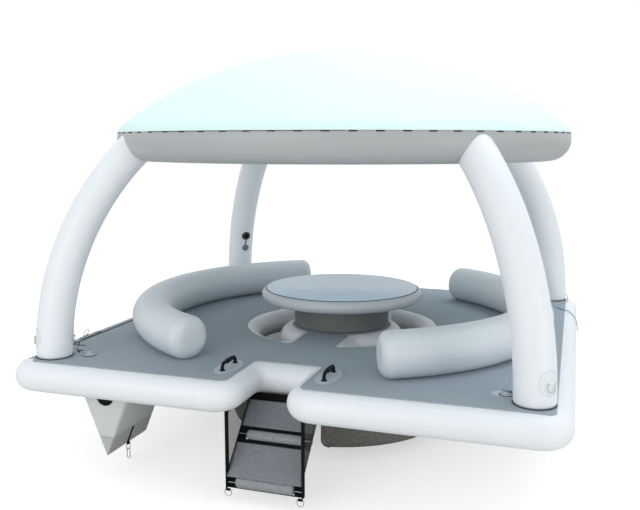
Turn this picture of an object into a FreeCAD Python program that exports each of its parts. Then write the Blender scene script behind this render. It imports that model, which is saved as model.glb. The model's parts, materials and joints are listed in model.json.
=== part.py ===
import FreeCAD, Part

# Inflatable floating lounge deck: a square drop-stitch platform with two hanging footwells,
# a round table on its central bridge, two curved backrests and four bowed legs that carry
# an inflated ring with a fabric dome. A boarding ladder hangs in the front notch.
# X runs to the right, Y away from the ladder side, Z up. The origin lies under the middle
# of the deck, level with the lowest point, which is the tip of the snap hook.

import os
from math import acos, asin, atan2, cos, degrees, hypot, radians, sin, tan

from FreeCAD import Placement, Rotation, Vector

UP = Vector(0, 0, 1)
RIGHT = Vector(1, 0, 0)
BACK = Vector(0, 1, 0)

# How far a cutting tool reaches past what it cuts, and how near an edge lies to where it is looked for
PAST = 1
NEAR = 1

# Driving sizes in millimetres and degrees
SIZES = (
    ("deck_level", 800, "height of the walking surface above the origin"),
    ("deck_width", 3660, "overall width and depth of the deck"),
    ("hull_thickness", 200, "thickness of the drop-stitch hull"),
    ("wall_flat", 0.2, "straight strip left at the middle of the bulged walls"),
    ("pad_thickness", 5, "thickness of the foam traction pad"),
    ("corner_radius", 190, "outer corners of the hull"),
    ("pad_corner_radius", 45, "outer corners of the traction pad"),
    ("notch_width", 298, "clear width of the ladder notch"),
    ("pad_notch_width", 478, "width of the pad's notch"),
    ("notch_depth", 486, "depth of the ladder notch"),
    ("notch_corner_radius", 190, "front corners of the ladder notch"),
    ("pad_notch_radius", 60, "front corners of the pad's notch"),
    ("opening_radius", 666, "clear radius of the central opening"),
    ("hub_radius", 500, "outer radius of the hull under the table"),
    ("bridge_width", 534, "overall width of the bridge that carries the hub"),
    ("pad_inner_radius", 25, "rounding of the pad at its inner corners"),
    ("basket_radius", 888, "outer radius of the footwell baskets"),
    ("basket_spacing", 180, "distance between the straight walls of the two baskets"),
    ("basket_depth", 510, "height of the footwell baskets"),
    ("basket_cloth", 4, "thickness of the basket mesh"),
    ("basket_corner_radius", 75, "upright corners of the baskets"),
    ("basket_floor_radius", 60, "rounding between basket wall and floor"),
    ("flange_width", 45, "width of the welded band that holds a basket"),
    ("flange_cloth", 3, "thickness of the welded band"),
    ("pedestal_radius", 383, "radius of the table pedestal"),
    ("pedestal_height", 210, "height of the table pedestal"),
    ("pedestal_rounding", 18, "edge rounding of the pedestal"),
    ("tabletop_radius", 618, "radius of the flat part of the tabletop"),
    ("tabletop_bulge", 30, "how far the tabletop's side wall bulges"),
    ("tabletop_thickness", 90, "thickness of the tabletop"),
    ("tabletop_pad_radius", 610, "radius of the foam pad on the tabletop"),
    ("backrest_path_radius", 1508, "radius of the backrest's centre line about the middle"),
    ("backrest_tube_radius", 154, "radius of the backrest tube"),
    ("backrest_front_angle", 25.5, "angle from the fore and aft line to a backrest's front end"),
    ("backrest_back_angle", 29, "angle from the fore and aft line to a backrest's back end"),
    ("backrest_end_rounding", 75, "rounding of a backrest's ends"),
    ("backrest_flat", 8, "how far the backrest is pressed flat on the deck"),
    ("leg_foot_radius", 2243, "distance from the middle to a leg's foot centre"),
    ("leg_azimuth", 44.3, "angle in plan between the X axis and a leg"),
    ("leg_tube_radius", 122, "radius of a leg tube"),
    ("leg_foot_rounding", 22, "rounding of a leg's foot"),
    ("ring_path_radius", 1577, "radius of the canopy ring's centre line"),
    ("ring_tube_radius", 151, "radius of the canopy ring's tube"),
    ("ring_height", 1482, "height of the ring's centre line above the deck"),
    ("dome_height", 2172, "height of the dome's crown above the deck"),
    ("cover_cloth", 3, "thickness of the canopy cover"),
    ("hem_angle", 23, "angle on the ring tube at which the cover's hem lies"),
    ("tab_count", 68, "number of webbing tabs along the hem"),
    ("tab_width", 50, "width of a webbing tab"),
    ("tab_angle", 6.5, "angle on the ring tube that a webbing tab covers"),
    ("pole_radius", 6, "radius of a canopy pole"),
    ("pole_drop", 4, "distance from the cover to the upper pole"),
    ("cloth_gap", 0.3, "gap between soft pieces that touch on a curve"),
    ("sewn_overlap", 0.5, "overlap of the sewn parts of a strap"),
    ("ladder_width", 504, "distance between the ladder's side panels"),
    ("ladder_top_inset", 66, "distance from the notch's back wall to the top of the sloping mesh"),
    ("ladder_front_inset", 125, "distance from the deck's front edge to the ladder's front edge"),
    ("ladder_slope_drop", 435, "height from the hull down to the sloping mesh's foot"),
    ("ladder_drop", 515, "height from the hull down to the ladder's lower edge"),
    ("ladder_cloth", 3, "thickness of the ladder's mesh and webbing"),
    ("ladder_seam", 4, "distance down the slope from the hull to the top band"),
    ("webbing_width", 50, "width of the ladder's webbing"),
    ("top_band_width", 62, "width of the webbing band at the top of the slope"),
    ("step_band_width", 114, "width of the webbing band round the upper rung"),
    ("step_position", 311, "distance down the slope to the upper rung"),
    ("rung_radius", 11, "radius of a rung tube"),
    ("rung_wall", 1.5, "wall of a rung tube"),
    ("rung_slot", 8, "slot in the webbing that shows the rung"),
    ("foam_radius", 32, "radius of the foam roll on a rung"),
    ("foam_length", 390, "length of the foam roll on a rung"),
    ("foam_rounding", 8, "edge rounding of a foam roll"),
    ("bag_offset", 1220, "distance from the middle plane to the ballast bag's keel"),
    ("bag_front_inset", 270, "distance from the deck's front edge to the bag's front face"),
    ("bag_length", 508, "length of the ballast bag"),
    ("bag_width", 388, "width of the ballast bag under the hull"),
    ("bag_depth", 475, "depth of the ballast bag"),
    ("bag_mesh_depth", 346, "depth at which the bag's mesh part starts"),
    ("port_radius", 66, "radius of the bag's fill port"),
    ("port_depth", 50, "depth of the port's centre below the hull"),
    ("port_thickness", 4, "thickness of the port's rim"),
    ("bag_strap_width", 25, "width of the strap on the bag"),
    ("bag_strap_cloth", 2, "thickness of the strap on the bag"),
    ("bag_strap_place", 253, "distance from the bag's front face to its strap"),
    ("bag_loop_gap", 1, "distance from the bag's keel to the top of its loop"),
    ("bag_strap_turn", 12, "length of the strap where it turns down to its loop"),
    ("hook_length", 80, "length of the snap hook"),
    ("hook_width", 30, "width of the snap hook"),
    ("hook_wire", 3, "radius of the snap hook's section"),
    ("hook_play", 1, "play of the snap hook on its ring"),
    ("gate_length", 38, "length of the snap hook's gate from its pin"),
    ("gate_pin_height", 20, "height of the gate's pin above the hook's tip"),
    ("gate_pin_radius", 1, "radius of the gate's pin"),
    ("gate_play", 0.3, "play of the gate at its nose and round its pin"),
    ("handle_offset", 345, "distance from the middle plane to a grab handle"),
    ("handle_inset", 390, "distance from the deck's front edge to a grab handle's centre"),
    ("handle_length", 200, "distance between a grab handle's feet"),
    ("handle_rise", 46, "height of a grab handle"),
    ("handle_bend", 34, "bend radius of a grab handle"),
    ("grip_radius", 11, "radius of a grab handle's grip"),
    ("handle_foot_radius", 20, "radius of a grab handle's foot"),
    ("handle_foot_height", 11.5, "height of a grab handle's foot"),
    ("handle_patch_length", 330, "length of the oval patch under a handle"),
    ("handle_patch_width", 150, "width of the oval patch under a handle"),
    ("patch_thickness", 2, "thickness of the welded patches"),
    ("patch_radius", 54, "radius of the round patches under the rings"),
    ("ring_wire", 2.5, "radius of the wire of a mooring ring"),
    ("ring_width", 50, "outer width of a ladder ring or bag ring"),
    ("ring_straight", 18, "length of the straight sides of a ladder ring or bag ring"),
    ("leg_ring_width", 58, "outer width of a leg's ring or of the side ring"),
    ("leg_ring_straight", 26, "length of the straight sides of a leg's ring or of the side ring"),
    ("deck_ring_width", 96, "outer width of a deck ring"),
    ("deck_ring_straight", 42, "length of a deck ring's straight sides"),
    ("loop_width", 30, "width of the webbing loop that holds a ring"),
    ("loop_wall", 3, "wall of the webbing loop round a ring"),
    ("loop_play", 0.5, "play of a ring in its webbing loop"),
    ("anchor_root", 13.5, "how far the blank of a ring's loop reaches into a curved surface"),
    ("leg_patch_height", 140, "height of a leg's ring patch above the deck"),
    ("deck_ring_inward", 197.3, "distance from a front leg's foot centre inwards to a deck ring"),
    ("deck_ring_back", 114.6, "distance from a front leg's foot centre back to a deck ring"),
    ("left_deck_ring_turn", -53, "direction in plan in which the left deck ring lies"),
    ("right_deck_ring_turn", -8, "direction in plan in which the right deck ring lies"),
    ("side_ring_place", 945, "distance from the middle to the left wall's ring"),
    ("side_ring_angle", 56, "angle above the wall's equator of the left wall's ring"),
    ("side_ring_lift", 40, "angle at which the left wall's ring stands off the wall"),
    ("valve_height", 533, "height of a leg's valve above the deck"),
    ("valve_radius", 44, "radius of a valve's flange"),
    ("valve_collar_radius", 33, "radius of a valve's collar"),
    ("valve_bore_radius", 22, "radius of a valve's bore"),
    ("valve_flange", 4, "thickness of a valve's flange at its crest"),
    ("valve_rounding", 2, "edge rounding of a valve's flange"),
    ("valve_root", 12, "how far the flange's blank reaches below its crest"),
    ("valve_collar", 8, "height of a valve's collar above its flange"),
    ("cap_radius", 34, "radius of a valve cap"),
    ("cap_thickness", 11, "thickness of a valve cap"),
    ("cap_rounding", 2.75, "edge rounding of a valve cap"),
    ("cap_drop", 128, "distance from a valve to its hanging cap"),
    ("tether_width", 12, "width of a valve cap's tether"),
    ("tether_thickness", 2, "thickness of a valve cap's tether"),
    ("cord_radius", 5, "radius of a tie cord"),
)

doc = FreeCAD.newDocument("floating_lounge")
sheet = doc.addObject("Spreadsheet::Sheet", "sizes")
for row, (alias, value, meaning) in enumerate(SIZES, start=1):
    sheet.set("A%d" % row, meaning)
    sheet.set("B%d" % row, str(value))
    sheet.setAlias("B%d" % row, alias)
doc.recompute()

pieces = []


def size(alias):
    """Value of one cell of the sheet."""
    return float(getattr(sheet, alias))


def bind(obj, **expressions):
    """Tie properties of an object to the sheet; two underscores stand for a dot."""
    for name, text in expressions.items():
        obj.setExpression(name.replace("__", "."), text)
    return obj


def place(obj, x="0", y="0", z="0", rotation=None):
    """Turn an object and tie its position to the sheet."""
    if rotation is not None:
        obj.Placement = Placement(Vector(), rotation)
    return bind(obj, Placement__Base__x=x, Placement__Base__y=y, Placement__Base__z=z)


def add(kind, name, **expressions):
    """A primitive whose sizes are tied to the sheet."""
    return bind(doc.addObject(kind, name), **expressions)


def combine(kind, name, base, tool):
    """A cut, fuse or common of two objects."""
    obj = doc.addObject(kind, name)
    obj.Base = base
    obj.Tool = tool
    return obj


def feature(name, shape):
    """An object that holds a shape worked out in code."""
    obj = doc.addObject("Part::Feature", name)
    obj.Shape = shape
    return obj


def piece(obj, label):
    """Register an object as one finished piece of the product."""
    obj.Label = label
    pieces.append(obj)
    return obj


def fillet(name, base, radius, chosen):
    """Round those edges of an object for which chosen(edge) is true."""
    doc.recompute()
    obj = doc.addObject("Part::Fillet", name)
    obj.Base = base
    numbers = [n for n, edge in enumerate(base.Shape.Edges, start=1) if chosen(edge)]
    obj.Edges = [(n, radius, radius) for n in numbers]
    return obj


def is_upright(edge):
    """Whether an edge runs straight up."""
    box = edge.BoundBox
    return box.ZLength > NEAR and box.XLength < NEAR and box.YLength < NEAR


def is_level(edge):
    """Whether an edge lies in a level plane."""
    return edge.BoundBox.ZLength < NEAR / 100


def is_round(edge):
    """Whether an edge is a whole circle."""
    return len(edge.Vertexes) == 1


def is_at(edge, level):
    """Whether an edge lies flat at a height."""
    return is_level(edge) and abs(edge.CenterOfMass.z - level) < NEAR


# Sizes that follow from the driving ones
half = size("deck_width") / 2
deck_top = size("deck_level")
hull_top = deck_top - size("pad_thickness")
hull_bottom = hull_top - size("hull_thickness")
bulge = size("hull_thickness") / 2
front_edge = -half
HULL_BOTTOM = "sizes.deck_level - sizes.pad_thickness - sizes.hull_thickness"
PAD_BOTTOM = "sizes.deck_level - sizes.pad_thickness"
gap = size("cloth_gap")


# Hull and traction pad share one plan: the pad's edge runs one bulge inside the hull's
def deck_plan(name, inset, low, high, opening, corner, entry):
    """The deck's plan between two heights, drawn in by an inset given as sheet text.

    opening is the notch's width as sheet text, corner and entry name its corner radii.
    """
    width = "(sizes.deck_width - 2 * (%s))" % inset
    height = "%s - (%s)" % (high, low)
    blank = add("Part::Box", name + "_blank", Length=width, Width=width, Height=height)
    place(blank, "-%s / 2" % width, "-%s / 2" % width, low)
    corners = fillet(name + "_corners", blank, size(corner), is_upright)
    notch = add("Part::Box", name + "_notch", Length=opening, Width="sizes.deck_width", Height=high)
    depth = "(sizes.deck_width / 2 - sizes.notch_depth - (%s))" % inset
    place(notch, "-%s / 2" % opening, "-%s - sizes.deck_width" % depth)
    doc.recompute()
    notched = combine("Part::Cut", name + "_notched", corners, notch)
    doc.recompute()
    front = notched.Shape.BoundBox.YMin

    def is_entry(edge):
        """Whether an edge is one of the notch's two front corners."""
        middle = edge.CenterOfMass
        return is_upright(edge) and abs(middle.y - front) < NEAR and abs(middle.x) < half / 2

    entered = fillet(name + "_entry", notched, size(entry), is_entry)
    opening_radius = "sizes.opening_radius + (%s)" % inset
    ring = add("Part::Cylinder", name + "_opening", Radius=opening_radius, Height=high)
    hub = add("Part::Cylinder", name + "_hub", Radius="sizes.hub_radius - (%s)" % inset, Height=high)
    bridge_width = "(sizes.bridge_width - 2 * (%s))" % inset
    bridge = add("Part::Box", name + "_bridge", Length=bridge_width, Width="sizes.deck_width",
                 Height=high)
    place(bridge, "-%s / 2" % bridge_width, "-sizes.deck_width / 2")
    carried = combine("Part::Fuse", name + "_carried", hub, bridge)
    wells = combine("Part::Cut", name + "_wells", ring, carried)
    return combine("Part::Cut", name + "_plan", entered, wells)


hull_plan = deck_plan("hull", "0", HULL_BOTTOM, PAD_BOTTOM, "sizes.notch_width",
                      "corner_radius", "notch_corner_radius")
wall_radius = (size("hull_thickness") - size("wall_flat")) / 2
piece(fillet("hull_walls", hull_plan, wall_radius, is_level), "deck_hull")

pad_plan = deck_plan("pad", "sizes.hull_thickness / 2", PAD_BOTTOM, "sizes.deck_level",
                     "sizes.pad_notch_width", "pad_corner_radius", "pad_notch_radius")
inner_reach = half - size("notch_depth") + 2 * bulge


def is_inner(edge):
    """Whether an edge is a corner of the pad's openings or of its notch's back."""
    return is_upright(edge) and hypot(edge.CenterOfMass.x, edge.CenterOfMass.y) < inner_reach


piece(fillet("pad_inner_corners", pad_plan, size("pad_inner_radius"), is_inner), "traction_pad")


# Footwells: a mesh basket on each side of the bridge, hung from a welded band
def basket_blank(name, grow, height, low):
    """The plan of a right-hand basket, grown sideways, as a block with rounded corners."""
    radius = "sizes.basket_radius + (%s)" % grow
    drum = add("Part::Cylinder", name + "_drum", Radius=radius, Height=height)
    place(drum, "0", "0", low)
    side = add("Part::Box", name + "_side", Length="sizes.deck_width", Width="sizes.deck_width",
               Height=height)
    place(side, "sizes.basket_spacing / 2 - (%s)" % grow, "-sizes.deck_width / 2", low)
    return combine("Part::Common", name + "_block", drum, side)


def footwell_basket():
    """Right-hand mesh basket with its floor."""
    block = basket_blank("basket", "0", "sizes.basket_depth", HULL_BOTTOM + " - sizes.basket_depth")
    rounded = fillet("basket_corners", block, size("basket_corner_radius"), is_upright)
    floor_level = hull_bottom - size("basket_depth")
    lower = fillet("basket_floor_edge", rounded, size("basket_floor_radius"),
                   lambda e: is_at(e, floor_level))
    doc.recompute()
    faces = enumerate(lower.Shape.Faces, start=1)
    top = [n for n, face in faces if abs(face.CenterOfMass.z - hull_bottom) < NEAR]
    shell = doc.addObject("Part::Thickness", "basket_shell")
    shell.Faces = (lower, ["Face%d" % top[0]])
    bind(shell, Value="-sizes.basket_cloth")
    return shell


def footwell_band():
    """Right-hand welded band that runs round the basket's upper edge."""
    height = "sizes.flange_width"
    low = HULL_BOTTOM + " - sizes.flange_width"
    corner = size("basket_corner_radius") + gap
    grown = basket_blank("band_outer", "sizes.cloth_gap + sizes.flange_cloth", height, low)
    hollow = basket_blank("band_inner", "sizes.cloth_gap", height, low)
    outer = fillet("band_outer_corners", grown, corner + size("flange_cloth"), is_upright)
    inner = fillet("band_inner_corners", hollow, corner, is_upright)
    return combine("Part::Cut", "band", outer, inner)


def mirrored(name, source):
    """A copy of an object on the other side of the middle plane."""
    obj = doc.addObject("Part::Mirroring", name)
    obj.Source = source
    obj.Normal = RIGHT
    return obj


right_basket = piece(footwell_basket(), "right_footwell_basket")
piece(mirrored("basket_left", right_basket), "left_footwell_basket")
right_band = footwell_band()
bands = doc.addObject("Part::Compound", "bands")
bands.Links = [right_band, mirrored("band_left", right_band)]
piece(bands, "footwell_bands")


# Table: a drop-stitch drum on the hub, with a round top and its foam pad
drum = add("Part::Cylinder", "pedestal_drum", Radius="sizes.pedestal_radius",
           Height="sizes.pedestal_height")
place(drum, z="sizes.deck_level")
piece(fillet("pedestal_edges", drum, size("pedestal_rounding"), is_round), "table_pedestal")


def tabletop():
    """A revolved disc whose side wall bulges as an arc between its two skins."""
    body = doc.addObject("PartDesign::Body", "tabletop_body")
    sketch = body.newObject("Sketcher::SketchObject", "tabletop_profile")
    plane = [f for f in body.Origin.OriginFeatures if f.Role == "XZ_Plane"][0]
    sketch.AttachmentSupport = [(plane, "")]
    sketch.MapMode = "FlatFace"
    radius, thick, out = size("tabletop_radius"), size("tabletop_thickness"), size("tabletop_bulge")
    middle, low, high, crest = Vector(), Vector(radius, 0, 0), Vector(radius, thick, 0), Vector(0, thick, 0)
    wall = Part.Arc(low, Vector(radius + out, thick / 2, 0), high)
    for line in (Part.LineSegment(middle, low), wall, Part.LineSegment(high, crest),
                 Part.LineSegment(crest, middle)):
        sketch.addGeometry(line, False)
    turn = body.newObject("PartDesign::Revolution", "tabletop_turn")
    turn.Profile = sketch
    turn.ReferenceAxis = (sketch, ["V_Axis"])
    turn.Angle = 360
    return place(body, z="sizes.deck_level + sizes.pedestal_height")


piece(tabletop(), "tabletop")
table_pad = add("Part::Cylinder", "tabletop_disc", Radius="sizes.tabletop_pad_radius",
                Height="sizes.pad_thickness")
place(table_pad, z="sizes.deck_level + sizes.pedestal_height + sizes.tabletop_thickness")
piece(table_pad, "tabletop_pad")


# Backrests: two bent tubes that lie pressed a little flat on the deck
def backrest():
    """Right-hand backrest, from its front end round to its back end."""
    tube = add("Part::Torus", "backrest_tube", Radius1="sizes.backrest_path_radius",
               Radius2="sizes.backrest_tube_radius",
               Angle3="180 - sizes.backrest_front_angle - sizes.backrest_back_angle")
    place(tube, z="sizes.deck_level + sizes.backrest_tube_radius - sizes.backrest_flat",
          rotation=Rotation(UP, size("backrest_front_angle") - 90))
    ended = fillet("backrest_ends", tube, size("backrest_end_rounding"), is_round)
    below = add("Part::Box", "backrest_floor", Length="sizes.deck_width", Width="sizes.deck_width",
                Height="sizes.deck_level")
    place(below, "-sizes.deck_width / 2", "-sizes.deck_width / 2")
    return combine("Part::Cut", "backrest", ended, below)


right_backrest = piece(backrest(), "right_backrest")
piece(mirrored("backrest_left", right_backrest), "left_backrest")


# Canopy ring and legs. Each leg rises upright from its foot and bends in one arc
# towards the middle until its centre line meets the ring's centre line.
leg_run = size("leg_foot_radius") - size("ring_path_radius")
leg_arc = (leg_run ** 2 + size("ring_height") ** 2) / (2 * leg_run)
leg_centre = size("leg_foot_radius") - leg_arc
leg_sweep = degrees(asin(size("ring_height") / leg_arc))
leg_azimuth = size("leg_azimuth")
LEGS = (("front_right", -leg_azimuth), ("back_right", leg_azimuth),
        ("back_left", 180 - leg_azimuth), ("front_left", leg_azimuth - 180))

ring = add("Part::Torus", "ring_tube", Radius1="sizes.ring_path_radius",
           Radius2="sizes.ring_tube_radius")
place(ring, z="sizes.deck_level + sizes.ring_height")
piece(ring, "canopy_ring")

ring_seat = add("Part::Torus", "ring_seat", Radius1="sizes.ring_path_radius",
                Radius2="sizes.ring_tube_radius + sizes.cloth_gap")
place(ring_seat, z="sizes.deck_level + sizes.ring_height")


def leg_frame(azimuth):
    """Placement with X outwards from the middle, Y up and its origin at the leg's arc centre."""
    out = Vector(cos(radians(azimuth)), sin(radians(azimuth)), 0)
    turn = Rotation(out, UP, out.cross(UP), "XYZ")
    return Placement(out * leg_centre + UP * deck_top, turn)


for side, azimuth in LEGS:
    tube = doc.addObject("Part::Torus", "leg_tube_" + side)
    bind(tube, Radius2="sizes.leg_tube_radius")
    tube.Radius1 = leg_arc
    tube.Angle3 = leg_sweep
    tube.Placement = leg_frame(azimuth)
    mouthed = combine("Part::Cut", "leg_mouth_" + side, tube, ring_seat)
    foot = fillet("leg_foot_" + side, mouthed, size("leg_foot_rounding"), lambda e: is_at(e, deck_top))
    piece(foot, side + "_leg")


# Canopy cover: a shallow dome that runs down onto the ring tube and follows it to the hem
ring_level = deck_top + size("ring_height")
ring_path = size("ring_path_radius")
cover_tube = size("ring_tube_radius") + gap + size("cover_cloth")
dome_rise = size("dome_height") - size("ring_height")
dome_below = (ring_path ** 2 - (dome_rise - cover_tube) ** 2) / (2 * (dome_rise - cover_tube))


def round_ring(radius, angle):
    """Point in the X and Z plane at a distance from the ring's centre line and an angle round it."""
    return Vector(ring_path + radius * cos(angle), 0, ring_level + radius * sin(angle))


def dome_profile(offset):
    """Hem, tangent point, crown and their mid points, at an offset inside the cover's outer face."""
    tube = cover_tube - offset
    dome = dome_rise + dome_below - offset
    lean = atan2(dome_below, ring_path)
    hem = radians(size("hem_angle"))
    quarter = radians(90)

    def on_dome(angle):
        """Point of the dome at an angle above the level."""
        return Vector(dome * cos(angle), 0, ring_level - dome_below + dome * sin(angle))

    return (round_ring(tube, hem), round_ring(tube, (hem + lean) / 2), round_ring(tube, lean),
            on_dome((lean + quarter) / 2), on_dome(quarter))


def canopy_cover():
    """The cover turned about the middle axis."""
    a, b, c, d, e = dome_profile(0)
    p, q, r, s, t = dome_profile(size("cover_cloth"))
    edges = [Part.Arc(a, b, c), Part.Arc(c, d, e), Part.LineSegment(e, t),
             Part.Arc(t, s, r), Part.Arc(r, q, p), Part.LineSegment(p, a)]
    wire = Part.Wire([edge.toShape() for edge in edges])
    profile = feature("cover_profile", Part.Face(wire))
    turn = doc.addObject("Part::Revolution", "cover_turn")
    turn.Source = profile
    turn.Axis = UP
    turn.Base = Vector()
    turn.Angle = 360
    turn.Solid = True
    return turn


piece(canopy_cover(), "canopy_cover")


def hem_tabs():
    """Short webbing tabs just below the hem, bent round the ring tube."""
    inner = size("ring_tube_radius") + gap
    outer = inner + size("cover_cloth")
    top = radians(size("hem_angle")) - gap / inner
    low = top - radians(size("tab_angle"))
    angles = (low, (low + top) / 2, top)
    inside = [round_ring(inner, angle) for angle in angles]
    outside = [round_ring(outer, angle) for angle in angles]
    edges = [Part.Arc(*inside), Part.LineSegment(inside[-1], outside[-1]),
             Part.Arc(*reversed(outside)), Part.LineSegment(outside[0], inside[0])]
    section = Part.Face(Part.Wire([edge.toShape() for edge in edges]))
    reach = degrees(size("tab_width") / (ring_path + outer))
    tab = section.revolve(Vector(), UP, reach)
    count = int(size("tab_count"))
    tabs = [tab.rotated(Vector(), UP, 360.0 * (n + 0.5) / count - reach / 2) for n in range(count)]
    return feature("hem_tab_row", Part.Compound(tabs))


piece(hem_tabs(), "hem_tabs")


def canopy_pole(drop):
    """A bent pole in the X and Z plane, from ring to ring under the cover."""
    radius = dome_rise + dome_below - size("cover_cloth") - drop - size("pole_radius")
    centre = Vector(0, 0, ring_level - dome_below)
    seat = size("ring_tube_radius") + size("pole_radius") + gap
    slant = hypot(ring_path, dome_below)
    lean = acos((slant ** 2 + radius ** 2 - seat ** 2) / (2 * radius * slant))
    start = atan2(dome_below, ring_path) + lean
    span = 180 - 2 * degrees(start)
    tube = Part.makeTorus(radius, size("pole_radius"), Vector(), UP, -180, 180, span)
    turn = Rotation(RIGHT, UP, RIGHT.cross(UP), "XYZ")
    tube.rotate(Vector(), UP, degrees(start))
    tube.Placement = Placement(centre, turn).multiply(tube.Placement)
    return tube


upper_pole = canopy_pole(size("pole_drop"))
lower_pole = canopy_pole(size("pole_drop") + 2 * size("pole_radius") + gap)
lower_pole.rotate(Vector(), UP, 90)
for name, pole in (("crosswise_canopy_pole", upper_pole), ("lengthwise_canopy_pole", lower_pole)):
    piece(feature(name + "_bend", pole), name)


# Boarding ladder: two mesh side panels, a sloping mesh back, webbing and two rungs.
# The slope's own frame has X across, Y down the slope and Z square to it, to the front.
ladder_half = size("ladder_width") / 2
cloth = size("ladder_cloth")
front_plane = front_edge + size("ladder_front_inset")
slope_back = front_edge + size("notch_depth") + size("ladder_top_inset")
slope_top = Vector(0, slope_back, hull_bottom)
slope_foot = Vector(0, front_plane, hull_bottom - size("ladder_slope_drop"))
slope_along = (slope_foot - slope_top).normalize()
slope_length = (slope_foot - slope_top).Length
slope_out = Vector(-1, 0, 0).cross(slope_along).normalize()
if slope_out.z < 0:
    slope_out = slope_out * -1
slope_turn = Rotation(Vector(-1, 0, 0), slope_along, slope_out, "XYZ")
ladder_foot = hull_bottom - size("ladder_drop")


def slope_box(start, stop, low, high, half_width):
    """A box in the slope's frame between two distances down it and two heights over it."""
    box = Part.makeBox(2 * half_width, stop - start, high - low, Vector(-half_width, start, low))
    box.Placement = Placement(slope_top, slope_turn)
    return box


def side_panel(sign):
    """The triangular mesh panel between the hull, the slope and the front edge."""
    corners = [Vector(sign * ladder_half, p.y, p.z) for p in
               (slope_top, Vector(0, front_plane, hull_bottom), slope_foot)]
    face = Part.Face(Part.makePolygon(corners + corners[:1]))
    return face.extrude(Vector(sign * cloth, 0, 0))


def bar_across(radius, length):
    """A round bar along X with its middle at the origin."""
    return Part.makeCylinder(radius, length, RIGHT * (-length / 2), RIGHT)


def loop_with_bore(length, bore):
    """A sewn webbing loop along X: a round eye whose neck rises to a flat top at half its width."""
    wall = size("loop_wall")
    eye = bar_across(bore + wall, length)
    neck = Part.makeBox(length, 2 * (bore + wall), bore + wall, Vector(-length / 2, -bore - wall, 0))
    return eye.fuse(neck).cut(bar_across(bore, length + 2 * PAST)).removeSplitter()


def mooring_ring(width="ring_width", straight="ring_straight"):
    """A D-shaped ring with its bar along X at the origin, hanging towards -Y."""
    wire = size("ring_wire")
    reach = size(width) / 2 - wire
    drop = size(straight)
    points = (RIGHT * -reach, RIGHT * reach)
    bar = bar_across(wire, 2 * reach)
    sides = [Part.makeCylinder(wire, drop, p, BACK * -1) for p in points]
    bend = Part.makeTorus(reach, wire, BACK * -drop, UP, -180, 180, 180)
    bend.rotate(BACK * -drop, UP, 180)
    joints = [Part.makeSphere(wire, p) for p in points]
    return bar.multiFuse(sides + joints + [bend]).removeSplitter()


ring_bore = size("ring_wire") + size("loop_play")
ring_drop = size("ring_straight") + size("ring_width") / 2
ring_eye = ring_bore + size("loop_wall")
HANGING = Rotation(RIGHT, UP, BACK * -1, "XYZ")


def ladder_eye(sign):
    """Middle of the loop at the foot of a ladder strap."""
    across = ladder_half + 2 * cloth - size("loop_width") / 2
    return Vector(sign * across, front_plane + ring_eye, ladder_foot - ring_eye)


def ladder_strap(sign):
    """The webbing down one front edge, ending in the loop that holds a ring."""
    inner, outer = ladder_half + cloth, ladder_half + 2 * cloth
    strap = Part.makeBox(cloth, size("webbing_width"), size("ladder_drop"),
                         Vector(min(sign * inner, sign * outer), front_plane, ladder_foot))
    loop = loop_with_bore(size("loop_width"), ring_bore)
    loop.translate(ladder_eye(sign))
    tail_start = min(sign * outer, sign * (outer - size("loop_width")))
    tail = Part.makeBox(size("loop_width"), 2 * ring_eye, cloth,
                        Vector(tail_start, front_plane, ladder_foot))
    return strap.multiFuse([loop, tail]).removeSplitter()


def ladder_ring(sign):
    """The ring that hangs in a ladder strap's loop."""
    ring_shape = mooring_ring()
    ring_shape.Placement = Placement(ladder_eye(sign), HANGING)
    return ring_shape


def step_band(width, reach):
    """A webbing band with a sleeve for a rung, in a frame with X across, Y along the cloth."""
    hold = size("rung_radius") + gap
    sleeve = hold + cloth
    slot_half = size("rung_slot") / 2
    flat = Part.makeBox(2 * reach, width, cloth, Vector(-reach, -width / 2, -cloth / 2))
    tube = bar_across(sleeve, 2 * reach)
    bore = bar_across(hold, 2 * (reach + PAST))
    slot = Part.makeBox(2 * (reach + PAST), 2 * slot_half, sleeve + PAST,
                        Vector(-reach - PAST, -slot_half, 0))
    window = bar_across(size("foam_radius") + gap, size("foam_length") + 2 * gap)
    return flat.fuse(tube).cut(bore).cut(slot).cut(window)


def rung_tube(reach):
    """A rung along X with its bore."""
    radius = size("rung_radius")
    return bar_across(radius, 2 * reach).cut(bar_across(radius - size("rung_wall"), 2 * reach))


def foam_roll():
    """A foam roll along X round its rung, with rounded ends."""
    length = size("foam_length")
    roll = bar_across(size("foam_radius"), length)
    roll = roll.makeFillet(size("foam_rounding"), [e for e in roll.Edges if is_round(e)])
    return roll.cut(bar_across(size("rung_radius") + gap, length + 2 * PAST))


step = size("step_position")
step_half = size("step_band_width") / 2
upper_step = Placement(slope_top + slope_along * step, slope_turn)
lower_band_width = size("ladder_drop") - size("ladder_slope_drop")
lower_rung_level = ladder_foot + lower_band_width / 2
lower_step = Placement(Vector(0, front_plane + size("foam_radius"), lower_rung_level), HANGING)

for side, sign in (("left", -1), ("right", 1)):
    piece(feature("panel_" + side, side_panel(sign)), "ladder_%s_panel" % side)
    piece(feature("strap_" + side, ladder_strap(sign)), "ladder_%s_strap" % side)
    piece(feature("ladder_d_" + side, ladder_ring(sign)), "ladder_%s_ring" % side)

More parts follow.
